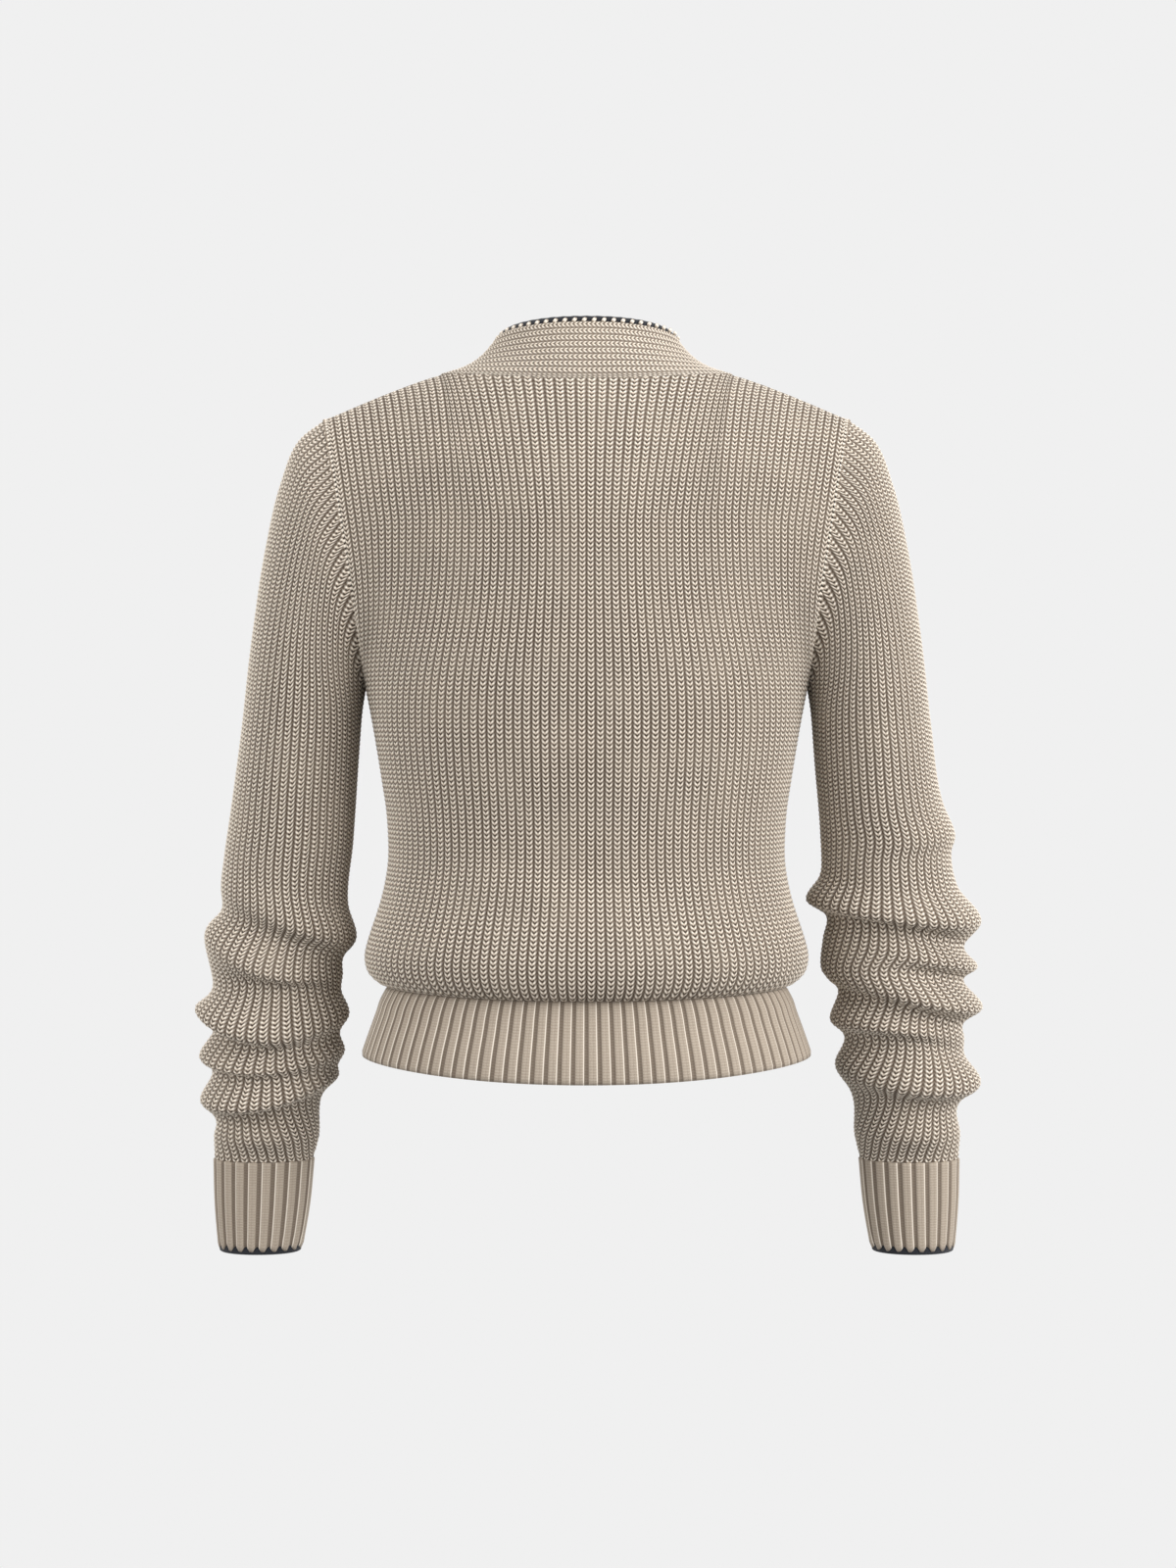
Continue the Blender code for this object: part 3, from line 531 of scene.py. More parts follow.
upperSleeve = [
    (205.0, -46.5, -136.0, 158.6, -226.0, 51.0, 0.5),
    (219.0, -80.0, -155.0, 159.0, -230.0, 52.0, 0.5),
    (228.6, -122.0, -178.5, 159.6, -235.0, 53.0, 0.0),
    (238.3, -185.0, -215.0, 160.8, -245.0, 53.0, -1.0),
    (246.0, -250.0, -264.0, 163.3, -277.0, 52.0, -3.0),
]
sleeveColumns = "outerX outerZ midZ innerX innerZ depth middle"
sleeveRows = {
    "left": table(sleeveColumns, upperSleeve + [
        (254.5, -312.0, -325.0, 167.2, -333.0, 50.5, -5.0),
        (259.4, -345.0, -364.0, 171.0, -378.0, 50.0, -6.2),
        (261.6, -366.0, -390.0, 165.6, -403.5, 51.2, -7.0),
        (261.1, -381.0, -401.0, 173.9, -415.8, 47.0, -7.8),
        (273.5, -397.6, -423.5, 175.0, -428.5, 50.8, -8.5),
        (267.9, -436.1, -437.0, 176.1, -440.3, 45.0, -9.2),
        (280.1, -452.9, -470.0, 170.7, -457.8, 50.5, -9.8),
        (267.1, -468.3, -482.5, 177.2, -471.1, 44.6, -10.4),
        (277.8, -485.1, -493.5, 173.7, -483.0, 47.0, -10.8),
        (268.7, -497.7, -500.5, 178.3, -493.0, 44.2, -11.0),
        (277.0, -517.3, -517.0, 179.1, -502.5, 45.8, -11.3),
        (267.9, -529.9, -524.5, 188.9, -514.0, 37.5, -11.6),
        (267.6, -545.0, -545.0, 192.4, -545.0, 33.0, -12.0),
        (267.0, -560.6, -560.6, 196.5, -560.6, 25.8, -12.0),
    ]),
    "right": table(sleeveColumns, upperSleeve + [
        (255.0, -306.0, -314.0, 166.8, -316.0, 51.0, -5.0),
        (263.6, -328.7, -334.3, 167.7, -330.0, 50.5, -5.5),
        (261.0, -340.5, -345.0, 168.4, -344.0, 49.5, -6.0),
        (266.0, -366.5, -366.0, 167.0, -358.5, 50.0, -6.8),
        (282.5, -388.9, -386.5, 157.9, -374.5, 52.0, -7.5),
        (270.4, -410.0, -396.5, 171.9, -387.8, 46.0, -8.2),
        (280.2, -420.5, -411.5, 169.8, -402.0, 48.0, -8.6),
        (270.1, -434.0, -425.1, 168.0, -421.0, 47.0, -9.0),
        (283.6, -450.4, -443.0, 173.3, -431.9, 49.5, -9.5),
        (270.6, -464.0, -453.5, 180.8, -441.5, 44.0, -9.9),
        (270.9, -474.0, -464.0, 174.9, -459.5, 46.5, -10.2),
        (270.6, -484.4, -474.0, 184.3, -471.8, 43.0, -10.5),
        (281.5, -507.5, -507.5, 179.6, -496.3, 45.0, -11.0),
        (268.6, -520.1, -517.5, 189.6, -513.0, 37.0, -11.5),
        (268.3, -543.9, -544.0, 192.7, -543.9, 33.0, -12.0),
        (267.0, -560.6, -560.6, 196.5, -560.6, 25.8, -12.0),
    ]),
}
sleeveForm = {
    "gap": 0.5,
    "wall": 2.0,
    "angles": 193,
    "rings": 420,
    "crestBack": 1.55,  # the crests lie on the outline, the valleys inside it
    "seamFade": 1.5,
    "swing": 1.1,  # how much further the folds stand out between the outlines
    "sag": 1.25,  # how far they hang down for each millimetre they stand out
    "foldTop": -300.0,
    "foldFade": 70.0,
    "foldReach": 26,
    "cuffTop": -561.0,
    "cuffFade": 16.0,
    "slant": 0.14,  # near the armhole the ribs lean and end at a shallow angle
    "slantReach": 125.0,
    "halfRibs": table("z count", [(-562, 14), (-545, 15.6), (-520, 18), (-480, 20.5), (-400, 22.4),
                                  (-300, 24), (-200, 25), (0, 25)]),
}
armPlane = unit(np.array([bodyForm["armHalf"][1], 0.0, -bodyForm["armHalf"][0]]))


def armholeRing(angles):  # from the underarm up the front and down the back
    front = np.stack(armhole("front", np.abs(angles)), axis=1) * np.array([1.0, -1.0, 1.0])
    back = np.stack(armhole("back", np.abs(angles)), axis=1)
    return np.where((angles > 0)[:, None], back, front)


def sleeveGrid(rows, sign):  # rings from the armhole down, in equal steps round each half
    angles = np.linspace(-math.pi, math.pi, 2 * sleeveForm["angles"] - 1)
    near = (1 + np.cos(angles)) / 2
    rings = [armholeRing(angles) + armPlane * sleeveForm["gap"]]
    for number, (outerX, outerZ, midZ, innerX, innerZ, depth, middle) in enumerate(zip(*rows.values())):
        x = innerX + (outerX - innerX) * near
        z = innerZ + (outerZ - innerZ) * near + (midZ - (outerZ + innerZ) / 2) * np.sin(angles) ** 2
        bow = np.where(angles > 0, bodyForm["armBow"]["back"], bodyForm["armBow"]["front"])
        bow = bow * max(0.0, 0.6 - 0.25 * number)
        rings.append(np.stack([x - bow * abs(np.sin(angles)), middle + depth * np.sin(angles), z], axis=1))
    rings = np.array(rings)
    knots = running(rings.mean(axis=1))
    dense = through(knots, rings, np.linspace(0, knots[-1], sleeveForm["rings"]))
    shares = np.linspace(0, 1, sleeveForm["angles"])
    half = len(angles) // 2
    evened = [np.concatenate([spaced(ring[:half + 1], shares), spaced(ring[half:], shares)[1:]])
              for ring in dense]
    return hangingFolds(np.array(evened)) * np.array([sign, 1.0, 1.0])


def hangingFolds(grid):  # ridges swing out and droop over the tucks below them
    reach = sleeveForm["foldReach"]
    padded = np.concatenate([grid[:1].repeat(reach, axis=0), grid, grid[-1:].repeat(reach, axis=0)])
    weights = hump(np.arange(-reach, reach + 1) / reach, 1.0)
    plain = sum(padded[k:k + len(grid)] * weights[k] for k in range(2 * reach + 1)) / weights.sum()
    middle = plain.mean(axis=1, keepdims=True)
    out = unit((plain - middle) * np.array([1.0, 1.0, 0.0]))
    stands = np.sum((grid - plain) * out, axis=2)
    low = ease((sleeveForm["foldTop"] - grid[:, :, 2]) / sleeveForm["foldFade"])
    low = low * ease((grid[:, :, 2] - sleeveForm["cuffTop"]) / sleeveForm["cuffFade"])
    facing = out[:, :, 1] ** 2 * low
    grid = grid + out * (stands * sleeveForm["swing"] * facing)[:, :, None]
    grid[:, :, 2] -= stands * sleeveForm["sag"] * (0.25 + 0.75 * facing) * low
    return grid


def sleevePaths(grid, ribCount, places):
    columns = grid.shape[1] - 1
    rows = np.arange(len(grid))
    length = running(grid.mean(axis=1))
    slant = np.clip(1 - (length[-1] - length) / sleeveForm["slantReach"], 0, 1) ** 2 * sleeveForm["slant"]
    paths = []
    for place in places:
        share = np.clip(place / ribCount, -1, 1)
        share = share - np.sign(share) * slant * np.sin(math.pi * np.abs(share) ** 1.5)
        at = (share + 1) / 2 * columns
        low = np.clip(np.floor(at).astype(int), 0, columns - 1)
        share = (at - low)[:, None]
        paths.append(grid[rows, low] * (1 - share) + grid[rows, low + 1] * share)
    return paths


def sleeve(name, side, sign, material):
    grid = sleeveGrid(sleeveRows[side], sign)[::-1]
    middle = grid.mean(axis=1)
    halfRibs = sleeveForm["halfRibs"]
    ribCount = np.interp(middle[:, 2], halfRibs["z"], halfRibs["count"])
    most = int(halfRibs["count"].max())
    layers = []
    for columns, step, lean in ((knitRelief["columns"], 0.5, knitRelief["lean"]), ((0.0,), 2.5, 0.0)):
        places = bothSides(ribPlaces(most, columns))
        paths = sleevePaths(grid, ribCount, places)
        layers.append(layCloth(paths, places, step, lean, knitRelief["rowHeight"], ribCount=ribCount))
    order = np.argsort(middle[:, 2])

    def nearest(points):  # the middle of the tube beside each point
        z = points[:, 2]
        return np.stack([np.interp(z, middle[order, 2], middle[order, i]) for i in (0, 1, 2)], axis=1)

    return clothObject(name, layers, sleeveForm["wall"], nearest, crested(sleeveForm), material, closed=True)


# Fine 2x1 ribbing of the cuffs and the welt: flat wales with narrow valleys

ribbing = {
    "cuffRibs": 20,
    "hemRibs": 48,
    "height": 1.0,
    "rowHeight": 1.9,
    "columns": (0.0, 0.12, 0.20, 0.34, 0.5, 0.66, 0.80, 0.88),
    "wall": 1.8,
    "flatTop": (0.80, 0.22),  # where a wale's side starts, and how steep it is
    "groove": 0.06,
    "cuffMiddle": -12.0,
    "cuffAxis": 233.0,
    "tipRise": 3.4,
    "tipLean": 0.8,
    "tipReach": 14.0,
}
cuffRows = table("row z half middle depth", [
    (0, -560.7, 35.3, 231.75, 25.8),
    (1, -592.0, 33.4, 232.8, 24.6),
    (2, -624.6, 29.4, 234.2, 22.4),
])


def ribbingRelief(u, height):
    side = np.abs(2 * (u % 1) - 1)
    top, slope = ribbing["flatTop"]
    return height * (ease((top - side) / slope) - ribbing["groove"] * np.clip(1 - side / slope, 0, 1))


def hemPanel(name, side, mirror, material):
    half = ribbing["hemRibs"] // 2
    sign = -1.0 if mirror else 1.0
    layers = []
    for columns, step in ((ribbing["columns"], 1.5), ((0.0,), 5.0)):
        places = ribPlaces(half, columns)
        rows = [spaced(section(side, hemRows, row), places / half) for row in np.linspace(4, 0, 33)]
        grid = np.array(rows)
        if side == "back":
            grid = np.concatenate([grid[:, :0:-1] * np.array([-1.0, 1.0, 1.0]), grid], axis=1)
            places = bothSides(places)
        else:
            grid = grid * np.array([sign, 1.0, 1.0])
        layers.append(layCloth(grid.swapaxes(0, 1), places, step, 0.0, ribbing["rowHeight"], shared=True))

    def relief(cloth):
        return ribbingRelief(cloth["uv"][:, 0], ribbing["height"]) * fadeAtEnds(cloth, 1.2)

    return clothObject(name, layers, ribbing["wall"], fromMiddle, relief, material)


def ringRows(sizes, sign, shares):  # level rings with their columns in equal steps
    turn = np.linspace(0, 2 * math.pi, 721)
    rings = []
    for z, half, middle, depth in zip(*list(sizes.values())[1:]):
        ring = np.stack([sign * (middle + half * np.cos(turn)), ribbing["cuffMiddle"] + depth * np.sin(turn),
                         np.full(len(turn), z)], axis=1)
        rings.append(spaced(ring, shares))
    return denser(np.array(rings[::-1]), 16)


def cuff(name, sign, material):
    count = ribbing["cuffRibs"]
    layers = []
    for columns, step in ((ribbing["columns"], 1.5), ((0.0, 0.5), 5.0)):
        places = ribPlaces(count, columns)
        grid = ringRows(cuffRows, sign, places / count)
        side = np.abs(2 * (places % 1) - 1)  # the wales end in slanting tips
        tip = ribbing["tipRise"] * ease((side - 0.2) / 0.62) - ribbing["tipLean"] * (places % 1 - 0.5)
        grid[:, :, 2] += tip * (1 - ease((grid[:, :, 2] - cuffRows["z"][-1]) / ribbing["tipReach"]))
        laid = layCloth(grid.swapaxes(0, 1), places, step, 0.0, ribbing["rowHeight"], shared=True)
        laid["index"][:, -1] = laid["index"][:, 0]
        layers.append(laid)

    def relief(cloth):
        return ribbingRelief(cloth["uv"][:, 0], ribbing["height"]) * ease(cloth["uv"][:, 1] / 1.6 + 0.35)

    def axis(points):
        return fromMiddle(points) + np.array([sign * ribbing["cuffAxis"], ribbing["cuffMiddle"], 0.0])

    return clothObject(name, layers, ribbing["wall"], axis, relief, material, closed=True)


# The strip round neck and fronts. s runs from 0 at the hem to 1 at the V, 2 at the shoulder, 3 at the back.

bandForm = {
    "ribs": 8,
    "frontWidth": 43.0,
    "neckWidth": 50.0,
    "tipping": 4.6,
    "gap": -0.5,  # the strip just covers the edge it is linked to
    "linking": 3.4,  # width of the double chain that joins strip and body
    "overlapLift": 4.2,
    "ramp": 4.0,
    "ribHeight": 0.95,
    "wall": 2.0,
    "stops": 260,
    "hollow": (4.2, 2.1, 0.75),  # dip over the shoulder: depth, middle and reach in s
}
bandFacing = table("s x y z", [
    (0.0, 0.0, -1.0, 0.0),
    (1.0, 0.0, -1.0, 0.02),
    (1.5, 0.25, -0.75, 0.6),
    (2.0, 0.46, -0.02, 0.88),
    (2.4, 0.35, 0.63, 0.68),
    (3.0, 0.0, 0.93, 0.36),
    (3.6, -0.35, 0.63, 0.68),
])


def bandBase(s):
    if s <= 1:
        z = hemRows["z"][-1] + (bodyForm["vBottom"] - hemRows["z"][-1]) * s
        return np.array([bodyForm["frontEdge"], -float(bandDepth(z)), z])
    return neckline("front", s - 1) if s <= 2 else neckline("back", 3 - s)


def facingAt(s, axis):  # straight between the rows in front, smooth round the neck
    knots, values = bandFacing["s"], bandFacing[axis]
    return np.where(s > 2.0, through(knots, values, s), np.interp(s, knots, values))


def bandFrame(s):
    tangent = unit(bandBase(s + 0.06) - bandBase(max(s - 0.06, 0.0)))
    window = np.clip(s + np.linspace(-0.1, 0.1, 9), 0, 3.6)
    facing = np.array([float(facingAt(window, axis).mean()) for axis in "xyz"])
    facing = unit(facing - tangent * (facing @ tangent))
    return bandBase(s), facing, np.cross(facing, tangent), tangent


def bandWidth(s):
    return bandForm["frontWidth"] + (bandForm["neckWidth"] - bandForm["frontWidth"]) * float(ease(s - 1))


def overlap(s, offset):  # how far the right strip lies over the left one
    over = bandForm["overlapLift"] * (1 - float(ease((s - 1.25) / 0.35)))
    return float(over * ease((offset - bandForm["gap"]) / bandForm["ramp"]))


def hollow(s, offset):
    depth, middle, reach = bandForm["hollow"]
    return -depth * max(0.0, 1 - ((s - middle) / reach) ** 2) * math.sin(math.pi * offset / bandWidth(s))


def bandPoint(s, offset, lift, right):
    start, facing, across, tangent = bandFrame(s)
    total = lift + hollow(s, offset) + (overlap(s, offset) if right else 0.0)
    point = start + across * offset + facing * total
    return point * np.array([-1.0 if right else 1.0, 1.0, 1.0])


def bandOffset(place, width):
    linking = bandForm["linking"]
    edge = width - bandForm["tipping"] - 0.2
    if place < 0:
        return bandForm["gap"] + (linking - bandForm["gap"]) * (1 + place / 2)
    return linking + (edge - linking) * place / bandForm["ribs"]


def bandPaths(places):
    stops = np.linspace(0, 3, bandForm["stops"])
    frames = [bandFrame(s) for s in stops]
    widths = [bandWidth(s) for s in stops]
    flip = np.array([-1.0, 1.0, 1.0])
    paths = []
    for place in places:
        left = []
        right = []
        for s, (start, facing, across, tangent), width in zip(stops, frames, widths):
            offset = bandOffset(place, width)
            point = start + across * offset + facing * hollow(s, offset)
            left.append(point)
            right.append((point + facing * overlap(s, offset)) * flip)
        paths.append(np.concatenate([left, right[-2::-1]]))
    return paths


def neckband(name, material):
    layers = []
    for columns, step, lean in ((knitRelief["columns"], 0.5, knitRelief["lean"]), ((0.0,), 3.0, 0.0)):
        places = np.concatenate([[-2.0, -1.5, -1.0, -0.5], ribPlaces(bandForm["ribs"], columns)])
        layers.append(layCloth(bandPaths(places), places, step, lean, knitRelief["rowHeight"], shared=True))

    def relief(cloth):
        u, v = cloth["uv"][:, 0], cloth["uv"][:, 1]
        scale = bandForm["ribHeight"] / knitRelief["ribHeight"]
        return stitchRelief(u, v) * np.where(u < 0, 0.5, scale) * fadeAtEnds(cloth, 1.0)

    def behind(points):
        inside = points * 0.0
        inside[:, 1] = 10.0
        inside[:, 2] = np.minimum(points[:, 2], 0.0) - 30.0
        return inside

    return clothObject(name, layers, bandForm["wall"], behind, relief, material)


def oval(halfWidth, halfHeight, count, power=2.0):
    turn = np.arange(count) / count * 2 * math.pi
    c, s = np.cos(turn), np.sin(turn)
    return np.stack([halfWidth * np.sign(c) * abs(c) ** (2 / power),
                     halfHeight * np.sign(s) * abs(s) ** (2 / power)], axis=1)


def strands(name, lines, material):
    # Yarn ends, capped: each line has its centres, two axes, a cross-section and its swell along the way.
    points = []
    faces = []
    faceUv = []
    for centres, sides, ups, profile, swell in lines:
        rows, around = len(centres), len(profile)
        base = sum(len(tube) for tube in points)
        sides, ups = (np.broadcast_to(axis, centres.shape)[:, None] for axis in (sides, ups))
        ring = sides * profile[:, :1] + ups * profile[:, 1:]
        points.append((centres[:, None] + ring * swell[:, None, None]).reshape(-1, 3))
        for r in range(rows - 1):
            here, ahead = base + r * around, base + (r + 1) * around
            for c in range(around):
                d = (c + 1) % around
                faces.append([here + c, here + d, ahead + d, ahead + c])
                faceUv.append([(0.25, r * 0.2)] * 4)
        faces.append([base + c for c in reversed(range(around))])
        faces.append([base + (rows - 1) * around + c for c in range(around)])
        faceUv += [[(0.25, 0.0)] * around] * 2
    return makeObject(name, np.concatenate(points), faces, faceUv, material, outward=True)


edging = {
    "halfWidth": 2.5,
    "halfThickness": 1.2,
    "sunk": 0.9,
    "step": 2.4,
    "twist": 0.07,
    "loopPitch": 6.8,
    "loopLean": 2.8,
    "loopRadius": 1.35,
    "loopFoot": 6.0,
    "loopTop": 2.2,
    "loopLift": 0.6,
    "loopTopLift": 0.35,
    "loopBulge": 0.7,
}


def bandRun(step, offsetOf, lift):  # evenly spaced places along the whole strip's edge
    stops = np.linspace(0, 3, 400)
    left = np.array([bandPoint(s, offsetOf(bandWidth(s)), lift, False) for s in stops])
    right = np.array([bandPoint(s, offsetOf(bandWidth(s)), lift, True) for s in stops])
    line = np.concatenate([left, right[-2::-1]])
    stopLine = np.concatenate([stops, 6 - stops[-2::-1]])
    length = running(line)
    at = np.linspace(0, length[-1], int(length[-1] / step) + 1)
    return np.interp(at, length, stopLine), at


def bandPlace(stop, offsetBack, lift):  # stop runs on past 3 down the right front
    right = stop > 3
    s = 6 - stop if right else stop
    return bandPoint(s, bandWidth(s) - offsetBack, lift, right)


def bandAxes(stop):
    right = stop > 3
    s = 6 - stop if right else stop
    start, facing, across, tangent = bandFrame(s)
    flip = np.array([-1.0 if right else 1.0, 1.0, 1.0])
    return across * flip, facing * flip, tangent * flip * (-1.0 if right else 1.0)


def neckTipping(name, material):
    half = edging["halfWidth"]
    stops, at = bandRun(edging["step"], lambda width: width - half, -edging["sunk"])
    centres = np.array([bandPlace(stop, half, -edging["sunk"]) for stop in stops])
    axes = np.array([bandAxes(stop)[:2] for stop in stops])
    swell = 1 + edging["twist"] * np.cos(at / edging["loopPitch"] * 4 * math.pi)
    section = oval(half, edging["halfThickness"], 12, 2.4)
    return strands(name, [(centres, axes[:, 0], axes[:, 1], section, swell)], material)


def slantedLoops(name, feet, tops, facings, radius, bulge, material):
    # Short rounded stitches, each from its foot over a small arch to its top.
    t = np.linspace(0, 1, 7)[:, None]
    swell = radius * np.sqrt(np.maximum(1 - (2 * t[:, 0] - 1) ** 4, 0.04))
    lines = []
    for foot, top, facing in zip(feet, tops, facings):
        centres = foot + (top - foot) * t + facing * bulge * np.sin(math.pi * t)
        lines.append((centres, unit(np.cross(top - foot, facing)), facing, oval(1.0, 0.8, 8), swell))
    return strands(name, lines, material)


def neckLoops(name, material):  # light loops that bind the dark edge
    lift = edging["loopLift"]
    stops, at = bandRun(edging["loopPitch"], lambda width: width - 2.0, lift)
    stops = stops[1:-1]
    axes = [bandAxes(stop) for stop in stops]
    feet = [bandPlace(stop, edging["loopFoot"], lift) for stop in stops]
    tops = [bandPlace(stop, edging["loopTop"], edging["loopTopLift"]) + along * edging["loopLean"]
            for stop, (across, facing, along) in zip(stops, axes)]
    facings = [facing for across, facing, along in axes]
    return slantedLoops(name, feet, tops, facings, edging["loopRadius"], edging["loopBulge"], material)


armholeSeam = {
    "pitch": 3.7,
    "radius": 0.95,
    "reach": 1.9,  # each way from the seam
    "lean": 2.6,
    "sunk": 0.45,
    "aside": 0.3,
    "bulge": 0.35,
}


def seamChain(name, sign, material):  # slanting stitches where the sleeve is linked to the body
    ring = armholeRing(np.linspace(-math.pi, math.pi, 721))
    length = running(ring)
    count = int(length[-1] / armholeSeam["pitch"])
    at = np.linspace(0, length[-1], count, endpoint=False)
    line = np.stack([np.interp(at, length, ring[:, i]) for i in range(3)], axis=1)
    along = unit(np.roll(line, -1, axis=0) - np.roll(line, 1, axis=0))
    out = unit(np.cross(along, armPlane))
    out = out * np.where(np.sum(out * (line - ring.mean(axis=0)), axis=1) > 0, 1.0, -1.0)[:, None]
    upward = along * np.where(along[:, 2] > 0, 1.0, -1.0)[:, None]
    line = line - out * armholeSeam["sunk"] + armPlane * armholeSeam["aside"]
    feet = line - armPlane * armholeSeam["reach"] + upward * armholeSeam["lean"] / 2
    tops = line + armPlane * armholeSeam["reach"] - upward * armholeSeam["lean"] / 2
    flip = np.array([sign, 1.0, 1.0])
    return slantedLoops(name, feet * flip, tops * flip, out * flip, armholeSeam["radius"],
                        armholeSeam["bulge"], material)


cuffHem = {
    "half": 28.9,
    "depth": 21.9,
    "middle": (234.3, ribbing["cuffMiddle"]),
    "columns": 120,
    "wave": 0.004,
    "waves": 60,
    "profile": [(-0.9, -620.6), (0.05, -621.4), (0.3, -624.0), (0.1, -626.2), (-0.9, -626.8), (-1.9, -626.0),
                (-2.0, -623.5), (-1.7, -621.2)],  # inset and height
}


def cuffTipping(name, sign, material):
    count = cuffHem["columns"]
    turn = np.arange(count) / count * 2 * math.pi
    wave = 1 + cuffHem["wave"] * np.cos(turn * cuffHem["waves"])
    middleX, middleY = cuffHem["middle"]
    rings = []
    for inset, z in cuffHem["profile"]:
        x = sign * (middleX + (cuffHem["half"] + inset) * wave * np.cos(turn))
        y = middleY + (cuffHem["depth"] + inset) * wave * np.sin(turn)
        rings.append(np.stack([x, y, np.full(count, z)], axis=1))
    faces = []
    for r in range(len(rings)):
        here, ahead = r * count, (r + 1) % len(rings) * count
        for c in range(count):
            d = (c + 1) % count
            faces.append([here + c, here + d, ahead + d, ahead + c])
    faceUv = [[(0.25, 0.0)] * 4] * len(faces)
    return makeObject(name, np.concatenate(rings), faces, faceUv, material, outward=True)


# Buttons: turned, with a raised rim, a dished middle and four thread holes

buttonForm = {
    "radius": 9.0,
    "rim": [(0.0, 0.2), (0.45, 0.25), (0.62, 0.7), (0.74, 1.35), (0.84, 1.55), (0.93, 1.35), (0.985, 0.75),
            (1.0, 0.0), (0.98, -0.9), (0.9, -1.45), (0.0, -1.6)],
    "holeAway": 2.4,
    "holeRadius": 1.05,
    "thread": 0.42,
    "beside": 0.384,
    "crossing": 0.35,
}


def buttonPlace(obj, node):  # turned to the front, in the middle of its solid
    low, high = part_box(node)
    obj.rotation_euler = (math.pi / 2, 0.0, 0.0)
    obj.location = (Vector(low) + Vector(high)) / 2
    return obj


def button(number, node, material):
    steps = 56
    turn = [i / steps * 2 * math.pi for i in range(steps)]
    bm = bmesh.new()
    rings = []
    for share, height in buttonForm["rim"]:
        radius = share * buttonForm["radius"] * mm
        around = turn if share else turn[:1]
        places = [(radius * math.cos(a), radius * math.sin(a), height * mm) for a in around]
        rings.append([bm.verts.new(place) for place in places])
    for one, two in zip(rings[:-1], rings[1:]):
        for i in range(steps):
            j = (i + 1) % steps
            if len(one) == 1:
                bm.faces.new((one[0], two[j], two[i]))
            elif len(two) == 1:
                bm.faces.new((one[i], one[j], two[0]))
            else:
                bm.faces.new((one[i], one[j], two[j], two[i]))
    bmesh.ops.recalc_face_normals(bm, faces=bm.faces)
    mesh = bpy.data.meshes.new(f"buttonTurned{number}")
    bm.to_mesh(mesh)
    bm.free()
    obj = bpy.data.objects.new(f"buttonTurned{number}", mesh)
    bpy.context.scene.collection.objects.link(obj)
    away = buttonForm["holeAway"] * mm
    for i in range(4):
        angle = math.pi / 4 + i * math.pi / 2
        bpy.ops.mesh.primitive_cylinder_add(vertices=20, radius=buttonForm["holeRadius"] * mm, depth=12 * mm,
                                            location=(away * math.cos(angle), away * math.sin(angle), 0))
        cutter = bpy.context.object
        drill = obj.modifiers.new("hole", "BOOLEAN")
        drill.operation = "DIFFERENCE"
        drill.object = cutter
        bpy.context.view_layer.objects.active = obj
        bpy.ops.object.modifier_apply(modifier=drill.name)
        bpy.data.objects.remove(cutter)
    obj.data.materials.clear()
    obj.data.materials.append(material)
    obj.data.polygons.foreach_set("use_smooth", [True] * len(obj.data.polygons))
    obj.data.set_sharp_from_angle(angle=math.radians(50))
    return buttonPlace(obj, node)


def threadCross(number, node, material):  # two stitches crossing over each button's middle
    t = np.linspace(0, 1, 13)
    reach = buttonForm["holeAway"] * math.cos(math.pi / 4)
    lines = []
    for x, y, lift in ((reach, reach, 0.0), (reach, -reach, buttonForm["crossing"])):
        across = np.array([-y, x, 0.0]) / math.hypot(x, y)
        height = -1.4 + (2.2 + lift) * np.sin(math.pi * t) ** 0.45
        for side in (-1, 1):
            centres = np.stack([x * (2 * t - 1), y * (2 * t - 1), height], axis=1)
            centres = centres + across * side * buttonForm["beside"]
            lines.append((centres, across, np.array([0.0, 0.0, 1.0]), oval(1.0, 1.0, 8),
                          np.full(len(t), buttonForm["thread"])))
    return buttonPlace(strands(f"buttonThread{number}", lines, material), node)


# Shader maths: a socket that takes + - * and **

class Wire:
    def __init__(self, tree, socket):
        self.tree = tree
        self.socket = socket

    def math(self, operation, *values):
        return self.tree.node("ShaderNodeMath", {"operation": operation}, dict(enumerate(values)))

    def __add__(self, other):
        return self.math("ADD", self, other)

    def __radd__(self, other):
        return self.math("ADD", other, self)

    def __sub__(self, other):
        return self.math("SUBTRACT", self, other)

    def __rsub__(self, other):
        return self.math("SUBTRACT", other, self)

    def __mul__(self, other):
        return self.math("MULTIPLY", self, other)

    def __rmul__(self, other):
        return self.math("MULTIPLY", other, self)

    def __pow__(self, other):
        return self.math("POWER", self, other)

    def fract(self):
        return self.math("FRACT", self)

    def wave(self):  # 1 at every whole turn, 0 half-way between
        return self.math("COSINE", self) * 0.5 + 0.5

    def fromMiddle(self):  # 0 in the middle of every step, 1 at its ends
        return self.math("ABSOLUTE", self.fract() * 2.0 - 1.0)

    def between(self, low, high):  # 0 below low, 1 above high, smooth between
        return self.tree.node("ShaderNodeMapRange", {"interpolation_type": "SMOOTHSTEP"},
                              {"Value": self, "From Min": low, "From Max": high})


